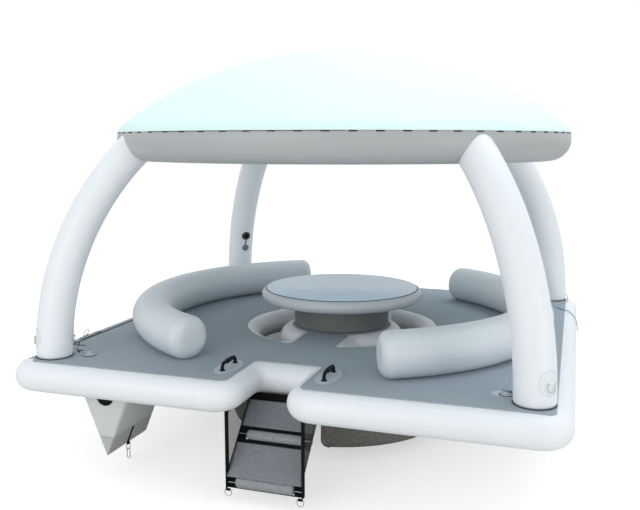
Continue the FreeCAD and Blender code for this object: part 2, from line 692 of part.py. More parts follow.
mesh_half = ladder_half - gap
slope_runs = (("ladder_top_band", size("ladder_seam"), size("top_band_width")),
              ("ladder_upper_mesh", size("top_band_width"), step - step_half),
              ("ladder_lower_mesh", step + step_half, slope_length - size("foam_radius")))
for label, start, stop in slope_runs:
    piece(feature(label + "_run", slope_box(start, stop, -cloth / 2, cloth / 2, mesh_half)), label)
steps = (("upper", size("step_band_width"), mesh_half, upper_step),
         ("lower", lower_band_width, ladder_half + cloth, lower_step))
for name, width, reach, where in steps:
    made = (("band", step_band(width, reach)), ("rung", rung_tube(reach)), ("foam", foam_roll()))
    for kind, shape in made:
        shape.Placement = where
        piece(feature("%s_%s" % (kind, name), shape), "ladder_%s_%s" % (name, kind))


# Ballast bag: a three-sided keel of cloth with a mesh lower part, a port and a strap
bag_half = size("bag_width") / 2
bag_x = -size("bag_offset")
keel = hull_bottom - size("bag_depth")
bag_y = front_edge + size("bag_front_inset")
seam = hull_bottom - size("bag_mesh_depth")


def bag_section(level):
    """Half width of the bag at a height."""
    return bag_half * (level - keel) / size("bag_depth")


def bag_part(points, length, start):
    """A length of the bag with a polygon section given as x and z."""
    corners = [Vector(bag_x + x, start, z) for x, z in points]
    return Part.Face(Part.makePolygon(corners + corners[:1])).extrude(BACK * length)


seam_half = bag_section(seam)
bag_points = [(-bag_half, hull_bottom), (bag_half, hull_bottom), (seam_half, seam), (-seam_half, seam)]
mesh_points = [(-seam_half, seam), (seam_half, seam), (0, keel)]
piece(feature("bag_upper", bag_part(bag_points, size("bag_length"), bag_y)), "ballast_bag")
piece(feature("bag_lower", bag_part(mesh_points, size("bag_length"), bag_y)), "ballast_bag_mesh")

port_middle = Vector(bag_x, bag_y, hull_bottom - size("port_depth"))
port = Part.makeCylinder(size("port_radius"), size("port_thickness"), port_middle, BACK * -1)
port = port.common(Part.makeBox(2 * bag_half, 4 * size("port_thickness"), size("bag_depth"),
                                Vector(bag_x - bag_half, bag_y - 2 * size("port_thickness"), keel)))
piece(feature("bag_port", port), "ballast_bag_port")

strap_y = bag_y + size("bag_strap_place")
flank = Vector(bag_half, 0, size("bag_depth")).normalize()
flank_out = Vector(size("bag_depth"), 0, -bag_half).normalize()
strap_thick = size("bag_strap_cloth")
strap_length = hypot(bag_half, size("bag_depth")) * (1 - size("bag_mesh_depth") / size("bag_depth"))
bag_eye = Vector(bag_x + ring_eye, strap_y, keel - size("bag_loop_gap") - ring_eye - strap_thick)


def bag_strap():
    """The strap down the bag's inner flank, ending in a loop below the keel."""
    width = size("bag_strap_width")
    run = Part.makeBox(width, strap_length, strap_thick, Vector(-width / 2, 0, gap))
    run.Placement = Placement(Vector(bag_x, strap_y, keel), Rotation(BACK, flank, flank_out, "XYZ"))
    loop = loop_with_bore(width, ring_bore)
    loop.Placement = Placement(bag_eye, Rotation(UP, 90))
    low = keel - strap_thick - size("bag_loop_gap") - size("sewn_overlap")
    side = strap_y - width / 2
    tongue = Part.makeBox(2 * ring_eye, width, strap_thick + size("bag_loop_gap"),
                          Vector(bag_x, side, low))
    rise = Part.makeBox(strap_thick, width, size("bag_strap_turn"),
                        Vector(bag_x + 2 * ring_eye - strap_thick, side, low))
    return run.multiFuse([loop, tongue, rise]).removeSplitter()


piece(feature("bag_strap_run", bag_strap()), "ballast_bag_strap")
bag_ring = mooring_ring()
bag_ring.Placement = Placement(bag_eye, Rotation(BACK, UP, RIGHT, "XYZ"))
piece(feature("bag_d_ring", bag_ring), "ballast_bag_ring")


# Snap hook on the bag's ring: an oblong of wire, open on one side for a sprung gate.
# Its own frame has X across, Y up and Z through it, with the origin at its lowest point.
hook_half = size("hook_width") / 2 - size("hook_wire")
hook_wire = size("hook_wire")
gate_pin = size("gate_pin_height")
gate_nose = gate_pin + size("gate_length")
tongue_half = hook_wire / 3


def wire_run(start, stop, radius):
    """A straight round bar between two points."""
    return Part.makeCylinder(radius, (stop - start).Length, start, stop - start)


def hook_body():
    """The hook's oblong with the gate's side left out between its pin and its nose."""
    low, high = hook_wire + hook_half, size("hook_length") - hook_wire - hook_half
    bends = []
    for level, start in ((low, 180), (high, 0)):
        bend = Part.makeTorus(hook_half, hook_wire, Vector(), UP, -180, 180, 180)
        bend.rotate(Vector(), UP, start)
        bend.translate(Vector(0, level, 0))
        bends.append(bend)
    root_top = gate_pin - hook_wire - size("gate_play")
    back = wire_run(Vector(-hook_half, low, 0), Vector(-hook_half, high, 0), hook_wire)
    nose_start = Vector(hook_half, gate_nose + size("gate_play"), 0)
    nose = wire_run(nose_start, Vector(hook_half, high, 0), hook_wire)
    root = wire_run(Vector(hook_half, low, 0), Vector(hook_half, root_top, 0), hook_wire)
    tongue = Part.makeBox(2 * hook_wire, gate_pin - low, 2 * tongue_half,
                          Vector(hook_half - hook_wire, low, -tongue_half))
    tip = Part.makeCylinder(hook_wire, 2 * tongue_half, Vector(hook_half, gate_pin, -tongue_half), UP)
    pin_hole = Part.makeCylinder(size("gate_pin_radius") + size("gate_play") / 3, 4 * hook_wire,
                                 Vector(hook_half, gate_pin, -2 * hook_wire), UP)
    return back.multiFuse(bends + [nose, root, tongue, tip]).removeSplitter().cut(pin_hole)


def hook_gate():
    """The gate: a round bar whose forked root straddles the hook's tongue on a pin."""
    bar_low = gate_pin + hook_wire + size("gate_play")
    bar = wire_run(Vector(hook_half, bar_low, 0), Vector(hook_half, gate_nose, 0), hook_wire)
    pin_foot = Vector(hook_half, gate_pin, -hook_wire)
    fork = Part.makeBox(2 * hook_wire, bar_low - gate_pin, 2 * hook_wire, pin_foot - RIGHT * hook_wire)
    root = Part.makeCylinder(hook_wire, 2 * hook_wire, pin_foot, UP)
    throat = tongue_half + size("gate_play")
    slot = Part.makeBox(4 * hook_wire, bar_low - gate_pin + 2 * hook_wire, 2 * throat,
                        Vector(hook_half - 2 * hook_wire, gate_pin - 2 * hook_wire, -throat))
    pin = Part.makeCylinder(size("gate_pin_radius"), 2 * hook_wire, pin_foot, UP)
    return bar.multiFuse([fork, root]).cut(slot).fuse(pin).removeSplitter()


hook_top = bag_eye.z - ring_drop + 2 * size("ring_wire") + 2 * hook_wire + size("hook_play")
hook_frame = Placement(Vector(bag_eye.x, bag_eye.y, hook_top - size("hook_length")), HANGING)
for name, shape in (("snap_hook_body", hook_body()), ("snap_hook_gate", hook_gate())):
    shape.Placement = hook_frame
    piece(feature(name + "_shape", shape), name)


# Grab handles on oval patches beside the notch
handle_y = front_edge + size("handle_inset")


def grab_handle(sign):
    """An arched grip along Y whose two ends stand on round feet."""
    reach, rise, bend = size("handle_length") / 2, size("handle_rise"), size("handle_bend")
    base = deck_top + size("patch_thickness")
    corner = bend * (1 - cos(radians(45)))

    def at(along, up):
        """A point beside the handle's middle, at a height above its patch."""
        return Vector(sign * size("handle_offset"), handle_y + along, base + up)

    low, high = rise - bend, rise - corner
    edges = [Part.LineSegment(at(-reach, 0), at(-reach, low)),
             Part.Arc(at(-reach, low), at(corner - reach, high), at(bend - reach, rise)),
             Part.LineSegment(at(bend - reach, rise), at(reach - bend, rise)),
             Part.Arc(at(reach - bend, rise), at(reach - corner, high), at(reach, low)),
             Part.LineSegment(at(reach, low), at(reach, 0))]
    path = Part.Wire([edge.toShape() for edge in edges])
    section = Part.Wire([Part.makeCircle(size("grip_radius"), at(-reach, 0), UP)])
    grip = path.makePipeShell([section], True, True)
    feet = [Part.makeCone(size("handle_foot_radius"), size("grip_radius"), size("handle_foot_height"),
                          at(end, 0)) for end in (-reach, reach)]
    return grip.multiFuse(feet).removeSplitter()


def oval_patch(sign):
    """The welded oval under a grab handle."""
    oval = Part.Ellipse(Vector(), size("handle_patch_length") / 2, size("handle_patch_width") / 2)
    face = Part.Face(Part.Wire([oval.toShape()]))
    patch = face.extrude(UP * size("patch_thickness"))
    patch.Placement = Placement(Vector(sign * size("handle_offset"), handle_y, deck_top), Rotation(UP, 90))
    return patch


for side, sign in (("left", -1), ("right", 1)):
    piece(feature("handle_" + side, grab_handle(sign)), side + "_grab_handle")
piece(feature("handle_ovals", Part.Compound([oval_patch(-1), oval_patch(1)])), "handle_patches")


# Mooring rings in webbing loops on welded patches. Each has a frame with Z square to the
# surface, its origin on the surface, and the ring reaching towards -Y.
patch = size("patch_thickness")
patch_radius = size("patch_radius")
bar_height = gap + patch + ring_eye


def ring_anchor(frame, curve=0.0, rise=0.0):
    """Patch and loop on a flat surface, or on one that curves round the frame's Y axis.

    curve is the surface's radius, and rise lifts the patch where the surface also bends the other way.
    """
    depth = size("anchor_root")
    loop = loop_with_bore(size("loop_width"), ring_bore)
    loop.rotate(Vector(), RIGHT, 180)
    loop.translate(UP * bar_height)
    lower = Part.makeBox(size("loop_width"), 2 * ring_eye, bar_height - ring_eye + depth,
                         Vector(-size("loop_width") / 2, -ring_eye, -depth))
    if curve:
        axis_start = Vector(0, -2 * patch_radius, -curve)
        seat, skin = [Part.makeCylinder(curve + rise + grow, 4 * patch_radius, axis_start, BACK)
                      for grow in (gap, gap + patch)]
        slab = Part.makeCylinder(patch_radius, 2 * patch_radius, UP * -patch_radius)
        disc = slab.common(skin).cut(seat)
        lower = lower.cut(seat)
    else:
        disc = Part.makeCylinder(patch_radius, patch)
        lower = lower.cut(Part.makeCylinder(patch_radius, depth, UP * -depth))
    anchor = disc.multiFuse([loop, lower]).removeSplitter()
    anchor.Placement = frame
    return anchor


def placed_ring(frame, tilt, width="ring_width", straight="ring_straight"):
    """A ring in its anchor's loop, turned up from the surface by a tilt."""
    shape = mooring_ring(width, straight)
    shape.Placement = frame.multiply(Placement(UP * bar_height, Rotation(RIGHT, -tilt)))
    return shape


def surface_frame(origin, out, up):
    """Frame on a surface from its outward normal and the direction away from the ring's tip."""
    across = up.cross(out).normalize()
    return Placement(origin, Rotation(across, out.cross(across), out, "XYZ"))


def leg_surface(azimuth, height, sign):
    """Frame on a leg at a height, on its outer side for sign 1 and its inner side for sign -1."""
    angle = asin(height / leg_arc)
    radial = Vector(cos(radians(azimuth)), sin(radians(azimuth)), 0)
    away = radial * cos(angle) + UP * sin(angle)
    centre = radial * leg_centre + UP * deck_top + away * leg_arc
    origin = centre + away * (sign * size("leg_tube_radius"))
    return surface_frame(origin, away * sign, UP * cos(angle) - radial * sin(angle))


patches = []
for side, azimuth in LEGS:
    for where, sign in (("outer", 1), ("inner", -1)):
        frame = leg_surface(azimuth, size("leg_patch_height"), sign)
        rise = patch_radius ** 2 / (2 * (leg_arc - size("leg_tube_radius"))) if sign < 0 else 0
        patches.append(ring_anchor(frame, size("leg_tube_radius"), rise))
        ring_shape = placed_ring(frame, 0, "leg_ring_width", "leg_ring_straight")
        piece(feature("leg_ring_%s_%s" % (side, where), ring_shape), "%s_leg_%s_ring" % (side, where))

deck_ring_reach = size("deck_ring_straight") + size("deck_ring_width") / 2 - size("ring_wire")
droop = degrees(asin((ring_eye - size("ring_wire")) / deck_ring_reach))
deck_ring_x = size("leg_foot_radius") * cos(radians(leg_azimuth)) - size("deck_ring_inward")
deck_ring_y = size("deck_ring_back") - size("leg_foot_radius") * sin(radians(leg_azimuth))
for side, sign in (("left", -1), ("right", 1)):
    turn = radians(size(side + "_deck_ring_turn"))
    origin = Vector(sign * deck_ring_x, deck_ring_y, deck_top)
    frame = surface_frame(origin, UP, Vector(-cos(turn), -sin(turn), 0))
    patches.append(ring_anchor(frame))
    ring_shape = placed_ring(frame, -droop, "deck_ring_width", "deck_ring_straight")
    piece(feature("deck_ring_" + side, ring_shape), side + "_deck_ring")

wall_centre = Vector(bulge - half, -size("side_ring_place"), (hull_top + hull_bottom) / 2)
angle = radians(size("side_ring_angle"))
outward = Vector(-cos(angle), 0, sin(angle))
frame = surface_frame(wall_centre + outward * bulge, outward, BACK * -1)
patches.append(ring_anchor(frame, bulge))
ring_shape = placed_ring(frame, size("side_ring_lift"), "leg_ring_width", "leg_ring_straight")
piece(feature("side_ring_left", ring_shape), "left_side_ring")
piece(feature("patch_set", Part.Compound(patches)), "ring_patches")


# The canopy frame's valve on the inner side of the back left leg, its cap hanging from a tether
def leg_valve(azimuth):
    """Flange and collar with the valve's bore, seated on the leg's tube."""
    radius, crest = size("valve_radius"), size("valve_flange")
    flange = Part.makeCylinder(radius, size("valve_root") + crest, UP * -size("valve_root"))
    rim = [e for e in flange.Edges if is_round(e) and e.CenterOfMass.z > 0]
    flange = flange.makeFillet(size("valve_rounding"), rim)
    collar = Part.makeCylinder(size("valve_collar_radius"), size("valve_collar"), UP * crest)
    bore = Part.makeCylinder(size("valve_bore_radius"), 4 * radius, UP * (-2 * radius))
    tube = size("leg_tube_radius")
    rise = radius ** 2 / (2 * (leg_arc - tube))
    seat = Part.makeCylinder(tube + gap + rise, 4 * radius, Vector(0, -2 * radius, -tube), BACK)
    valve = flange.fuse(collar).cut(bore).cut(seat).removeSplitter()
    valve.Placement = leg_surface(azimuth, size("valve_height"), -1)
    return valve


def valve_cap(azimuth):
    """The cap and its tether, moulded in one with the ring that sits round the collar."""
    low = size("valve_flange") + gap
    thick = size("tether_thickness")
    collar = size("valve_collar_radius") + gap
    width, radius, drop = size("tether_width"), size("cap_radius"), size("cap_drop")
    band = Part.makeCylinder(collar + thick, thick, UP * low)
    band = band.cut(Part.makeCylinder(collar, thick, UP * low))
    strap = Part.makeBox(width, drop - radius - collar, thick,
                         Vector(-width / 2, radius - drop - size("sewn_overlap"), low))
    lift = (drop + radius) ** 2 / (2 * (leg_arc - size("leg_tube_radius"))) + gap
    cap = Part.makeCylinder(radius, size("cap_thickness"), Vector(0, -drop, lift))
    cap = cap.makeFillet(size("cap_rounding"), [e for e in cap.Edges if is_round(e)])
    neck = Part.makeBox(width, radius / 2, lift + thick - low, Vector(-width / 2, radius / 2 - drop, low))
    cap = band.multiFuse([strap, cap, neck]).removeSplitter()
    cap.Placement = leg_surface(azimuth, size("valve_height"), -1)
    return cap


valve_azimuth = dict(LEGS)["back_left"]
piece(feature("canopy_valve", leg_valve(valve_azimuth)), "canopy_valve")
piece(feature("canopy_valve_cover", valve_cap(valve_azimuth)), "canopy_valve_cap")


# Tie cord from the back right leg's outer ring, over the rim and down the right wall.
# Its points are chosen by hand, relative to the walking surface's level.
CORD = ((1699, 1659, 78), (1738, 1620, 40), (1752, 1552, 8), (1736, 1465, 6), (1690, 1362, 5.3),
        (1648, 1256, 5.3), (1663, 1166, 5.3), (1712, 1088, 5.8), (1772, 1018, 5), (1822, 950, -38),
        (1838, 896, -84), (1840, 852, -128))
# Share of the shorter neighbouring run that each of the cord's bends takes
CORD_BEND = 0.45


def bent_tube(points, radius):
    """A round tube along straight runs that are joined by tangent arcs."""
    knots = [Vector(x, y, deck_top + z) for x, y, z in points]
    edges = []
    last = knots[0]
    for before, knot, after in zip(knots, knots[1:], knots[2:]):
        back, ahead = before - knot, after - knot
        turn = back.getAngle(ahead)
        set_back = CORD_BEND * min(back.Length, ahead.Length)
        bend = set_back * tan(turn / 2)
        start = knot + back.normalize() * set_back
        stop = knot + ahead.normalize() * set_back
        inward = (back + ahead).normalize()
        middle = knot + inward * (bend / sin(turn / 2) - bend)
        edges += [Part.LineSegment(last, start), Part.Arc(start, middle, stop)]
        last = stop
    edges.append(Part.LineSegment(last, knots[-1]))
    path = Part.Wire([edge.toShape() for edge in edges])
    section = Part.Wire([Part.makeCircle(radius, knots[0], knots[1] - knots[0])])
    return path.makePipeShell([section], True, True)


piece(feature("tie_cord", bent_tube(CORD, size("cord_radius"))), "back_right_tie_cord")

doc.recompute()
os.makedirs("parts", exist_ok=True)
failed = [obj.Name for obj in doc.Objects if "Invalid" in obj.State or "Error" in obj.State]
if failed:
    raise RuntimeError("objects failed: %s" % ", ".join(failed))
for obj in pieces:
    shape = obj.Shape
    if shape.isNull() or not shape.isValid() or not shape.Solids:
        raise RuntimeError("%s has no valid solid" % obj.Label)
for obj in pieces:
    obj.Shape.exportStep("parts/%s.step" % obj.Label)
    box = obj.Shape.BoundBox
    limits = (box.XMin, box.XMax, box.YMin, box.YMax, box.ZMin, box.ZMax)
    print("%-26s %d solids  %.6f m3  x %.1f..%.1f y %.1f..%.1f z %.1f..%.1f"
          % ((obj.Label, len(obj.Shape.Solids), obj.Shape.Volume / 1e9) + limits))
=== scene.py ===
"""Looks of the inflatable floating platform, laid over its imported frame.

Every length is in metres. X runs to the right, Y away from the boarding ladder and Z up, with
the walking surface of the deck at z = 0.8.
"""

import json
import logging
from dataclasses import dataclass
from enum import Enum
from math import acos, asin, atan2, cos, pi, radians, sin

import bmesh
import bpy
import numpy as np
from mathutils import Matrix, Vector
from mathutils.geometry import tessellate_polygon

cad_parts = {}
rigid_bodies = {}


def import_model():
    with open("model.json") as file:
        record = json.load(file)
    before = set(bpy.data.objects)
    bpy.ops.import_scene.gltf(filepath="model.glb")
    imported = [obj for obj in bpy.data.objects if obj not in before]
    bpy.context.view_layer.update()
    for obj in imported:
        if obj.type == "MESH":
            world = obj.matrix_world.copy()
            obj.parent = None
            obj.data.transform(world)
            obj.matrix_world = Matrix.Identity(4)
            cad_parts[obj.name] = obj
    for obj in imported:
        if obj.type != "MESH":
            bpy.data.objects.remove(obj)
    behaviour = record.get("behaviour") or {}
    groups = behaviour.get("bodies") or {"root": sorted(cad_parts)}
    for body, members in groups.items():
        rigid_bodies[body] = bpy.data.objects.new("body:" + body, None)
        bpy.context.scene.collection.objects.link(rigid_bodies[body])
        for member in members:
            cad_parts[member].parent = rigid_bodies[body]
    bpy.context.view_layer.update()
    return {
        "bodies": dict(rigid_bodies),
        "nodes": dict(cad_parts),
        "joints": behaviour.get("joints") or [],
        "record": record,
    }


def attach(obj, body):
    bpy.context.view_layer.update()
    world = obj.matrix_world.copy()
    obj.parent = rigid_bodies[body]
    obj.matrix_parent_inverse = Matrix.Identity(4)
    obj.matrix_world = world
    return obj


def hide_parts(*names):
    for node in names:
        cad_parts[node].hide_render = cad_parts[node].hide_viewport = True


LOG = logging.getLogger("floating_platform")
PLATFORM = "platform"
# Places of a Mix node's colour sockets, whose names its number sockets share
MIX_COLOUR_A, MIX_COLOUR_B, MIX_COLOUR_RESULT = 6, 7, 2
# Where a welded patch counts as lying on the deck: below this height, and this far from the middle
ON_DECK_HEIGHT, ON_DECK_REACH = 0.83, 1.6
# Thickness of the ladder's mesh, and how far its tapes stand off it
MESH_THICKNESS, TAPE_STANDOFF, TAPE_THICKNESS = 0.0016, 0.0006, 0.0016
SIDES = {"right": 1, "left": -1}
# Direction in plan of each leg, in degrees from +X
LEG_AZIMUTH = 44.3
LEGS = {"front_right": -LEG_AZIMUTH, "back_right": LEG_AZIMUTH, "back_left": 180 - LEG_AZIMUTH,
        "front_left": LEG_AZIMUTH - 180}

Socket = bpy.types.NodeSocket
Piece = bpy.types.Object


def linear(red: int, green: int, blue: int) -> tuple[float, float, float]:
    """Turn a display colour of 0 to 255 into the linear colour that a shader takes.

    Args:
        red: Red part.
        green: Green part.
        blue: Blue part.

    Returns:
        The three parts, each as the display curve's inverse gives it.
    """
    parts = np.array([red, green, blue]) / 255.0
    low = parts / 12.92
    high = ((parts + 0.055) / 1.055) ** 2.4
    return tuple(float(x) for x in np.where(parts <= 0.04045, low, high))


class Texture(Enum):
    """The surfaces that the platform's finishes have."""

    COATED = "smooth coated fabric"
    FOAM = "fine grained foam"
    MESH = "open woven mesh"
    WEBBING = "ribbed webbing"
    CLOTH = "plain woven cloth"
    MOULDED = "moulded plastic"
    METAL = "drawn or bent metal"
    BRAID = "braided cord"


class NodeSheet:
    """The node tree of one material, with a call for each node that the finishes need."""

    def __init__(self, name: str) -> None:
        """Start a material that holds one principled shader.

        Args:
            name: Name of the material.
        """
        self.material = bpy.data.materials.new(name)
        self.material.use_nodes = True
        self.tree = self.material.node_tree
        self.tree.nodes.clear()
        self.shader = self.tree.nodes.new("ShaderNodeBsdfPrincipled")
        output = self.tree.nodes.new("ShaderNodeOutputMaterial")
        self.tree.links.new(self.shader.outputs["BSDF"], output.inputs["Surface"])

    def link(self, source: Socket | float | tuple, target: Socket) -> None:
        """Join a socket to another, or set a plain value on it."""
        if isinstance(source, Socket):
            self.tree.links.new(source, target)
        elif isinstance(source, tuple) and len(source) == 3 and target.type == "RGBA":
            target.default_value = (*source, 1.0)
        else:
            target.default_value = source

    def place(self, by_path: bool = False, stretch: tuple[float, float, float] = (1, 1, 1)) -> Socket:
        """Coordinates of the surface.

        Args:
            by_path: Take the piece's own map, in metres along it, instead of its place.
            stretch: Scale on each axis.

        Returns:
            The vector socket.
        """
        node = self.tree.nodes.new("ShaderNodeTexCoord")
        source = node.outputs["UV" if by_path else "Object"]
        if stretch == (1, 1, 1):
            return source
        mapping = self.tree.nodes.new("ShaderNodeMapping")
        mapping.inputs["Scale"].default_value = stretch
        self.tree.links.new(source, mapping.inputs["Vector"])
        return mapping.outputs["Vector"]

    def noise(self, where: Socket, size: float, detail: float = 2.0) -> Socket:
        """Cloudy pattern whose features are about one size across."""
        node = self.tree.nodes.new("ShaderNodeTexNoise")
        self.tree.links.new(where, node.inputs["Vector"])
        node.inputs["Scale"].default_value = 1.0 / size
        node.inputs["Detail"].default_value = detail
        return node.outputs["Fac"]

    def cells(self, where: Socket, size: float) -> Socket:
        """Distance to the nearest of many scattered points about one size apart."""
        node = self.tree.nodes.new("ShaderNodeTexVoronoi")
        self.tree.links.new(where, node.inputs["Vector"])
        node.inputs["Scale"].default_value = 1.0 / size
        return node.outputs["Distance"]

    def bands(self, where: Socket, pitch: float, direction: str) -> Socket:
        """Rising and falling bands at one pitch; a band repeats each tenth of pi of scaled length."""
        node = self.tree.nodes.new("ShaderNodeTexWave")
        self.tree.links.new(where, node.inputs["Vector"])
        node.inputs["Scale"].default_value = pi / 10 / pitch
        node.bands_direction = direction
        return node.outputs["Fac"]

    def sum(self, operation: str, first: Socket, second: Socket | float) -> Socket:
        """Result of one arithmetic operation."""
        node = self.tree.nodes.new("ShaderNodeMath")
        node.operation = operation
        self.link(first, node.inputs[0])
        self.link(second, node.inputs[1])
        return node.outputs["Value"]

    def span(self, value: Socket, low: float, high: float,
             start: float = 0.0, stop: float = 1.0) -> Socket:
        """A value brought from one range into another, held at its ends."""
        node = self.tree.nodes.new("ShaderNodeMapRange")
        self.tree.links.new(value, node.inputs["Value"])
        node.inputs["From Min"].default_value = start
        node.inputs["From Max"].default_value = stop
        node.inputs["To Min"].default_value = low
        node.inputs["To Max"].default_value = high
        return node.outputs["Result"]

    def tint(self, share: Socket, first: Socket | tuple,
             second: Socket | tuple) -> Socket:
        """Colour between two colours at a share."""
        node = self.tree.nodes.new("ShaderNodeMix")
        node.data_type = "RGBA"
        self.link(share, node.inputs["Factor"])
        self.link(first, node.inputs[MIX_COLOUR_A])
        self.link(second, node.inputs[MIX_COLOUR_B])
        return node.outputs[MIX_COLOUR_RESULT]

    def relief(self, height: Socket, depth: float) -> None:
        """Raise the surface's shading by a height pattern and a depth in metres."""
        node = self.tree.nodes.new("ShaderNodeBump")
        node.inputs["Strength"].default_value = 1.0
        node.inputs["Distance"].default_value = depth
        self.tree.links.new(height, node.inputs["Height"])
        self.tree.links.new(node.outputs["Normal"], self.shader.inputs["Normal"])


@dataclass(frozen=True)
class Finish:
    """One finish of the platform: its colour and how its surface is made."""

    colour: tuple[float, float, float]
    texture: Texture
    roughness: float = 0.5
    spread: float = 0.03
    pitch: float = 0.002
    depth: float = 0.0002
    metallic: float = 0.0
    along_path: bool = False
    shine: float = 0.5
    opacity: float = 1.0
    gap_colour: tuple[float, float, float] | None = None
    deck_colour: tuple[float, float, float] | None = None
    grain: float = 0.88

    def build(self, name: str) -> bpy.types.Material:
        """Make the finish's material, once, and name it after the finish."""
        label = name + "_finish"
        known = bpy.data.materials.get(label)
        if known is not None:
            return known
        sheet = NodeSheet(label)
        shader = sheet.shader
        shader.inputs["Metallic"].default_value = self.metallic
        shader.inputs["Specular IOR Level"].default_value = self.shine
        shader.inputs["Alpha"].default_value = self.opacity
        where = sheet.place(self.along_path)
        cloud = sheet.noise(where, 0.7, 3.0)
        fine = sheet.noise(where, self.pitch, 1.0)
        dull = tuple(c * (1 - self.spread) for c in self.colour)
        bright = tuple(min(1.0, c * (1 + self.spread)) for c in self.colour)
        base = sheet.tint(sheet.span(cloud, 0.0, 1.0, 0.3, 0.7), dull, bright)
        if self.deck_colour is not None:
            base = sheet.tint(self.on_deck(sheet), base, self.deck_colour)
        height, base = self.surface(sheet, where, fine, base)
        sheet.link(base, shader.inputs["Base Color"])
        rough = sheet.span(sheet.noise(where, 0.12, 2.0), self.roughness - 0.05,
                           min(1.0, self.roughness + 0.05), 0.3, 0.7)
        sheet.link(rough, shader.inputs["Roughness"])
        sheet.relief(height, self.depth)
        return sheet.material

    def on_deck(self, sheet: NodeSheet) -> Socket:
        """Share that is one where a welded patch lies on the deck, and zero on the legs and the wall."""
        split = sheet.tree.nodes.new("ShaderNodeSeparateXYZ")
        sheet.link(sheet.place(), split.inputs[0])
        low = sheet.sum("LESS_THAN", split.outputs["Z"], ON_DECK_HEIGHT)
        inside = sheet.sum("LESS_THAN", sheet.sum("ABSOLUTE", split.outputs["X"], 0.0), ON_DECK_REACH)
        return sheet.sum("MULTIPLY", low, inside)

    def surface(self, sheet: NodeSheet, where: Socket, fine: Socket,
                base: Socket) -> tuple[Socket, Socket]:
        """Height pattern and colour of the finish's texture.

        Args:
            sheet: The material's nodes.
            where: Coordinates.
            fine: Noise at the finish's pitch.
            base: Colour before the texture.

        Returns:
            The height socket and the colour socket.
        """
        darker = tuple(c * 0.72 for c in self.colour)
        if self.texture in (Texture.MESH, Texture.CLOTH, Texture.WEBBING, Texture.BRAID):
            along = sheet.bands(where, self.pitch, "X")
            across = sheet.bands(where, self.pitch, "Y")
            if self.texture == Texture.MESH:
                level = sheet.bands(where, self.pitch, "Z")
                threads = sheet.sum("MAXIMUM", sheet.sum("MAXIMUM", along, across), level)
                holes = sheet.span(threads, 0.0, 1.0, 0.55, 0.9)
                speckle = sheet.noise(where, self.pitch * 2.5, 2.0)
                shown = sheet.tint(sheet.span(speckle, 0.0, 1.0, 0.42, 0.6), self.gap_colour or darker, base)
                return threads, sheet.tint(holes, self.gap_colour or darker, shown)
            if self.texture == Texture.CLOTH:
                threads = sheet.sum("MAXIMUM", along, across)
                return threads, sheet.tint(sheet.span(threads, 0.0, 1.0, 0.2, 1.0),
                                           tuple(c * 0.975 for c in self.colour), base)
            slanted = sheet.sum("MULTIPLY", along, across)
            ribs = sheet.sum("ADD", sheet.sum("MULTIPLY", slanted, 0.6), sheet.sum("MULTIPLY", across, 0.4))
            return ribs, sheet.tint(sheet.span(ribs, 0.0, 1.0, 0.1, 0.8), darker, base)
        if self.texture == Texture.FOAM:
            pores = sheet.cells(where, self.pitch * 1.5)
            grain = sheet.sum("ADD", sheet.sum("MULTIPLY", fine, 0.7), sheet.sum("MULTIPLY", pores, 0.3))
            speckled = sheet.tint(sheet.span(fine, 0.0, 1.0, 0.4, 0.62),
                                  tuple(c * self.grain for c in self.colour), base)
            return grain, speckled
        if self.texture == Texture.METAL:
            drawn = sheet.noise(sheet.place(False, (40.0, 40.0, 4.0)), 0.06, 2.0)
            return drawn, base
        soft = sheet.noise(where, 0.09, 2.0)
        mixed = sheet.sum("ADD", sheet.sum("MULTIPLY", fine, 0.2), sheet.sum("MULTIPLY", soft, 0.8))
        return mixed, base


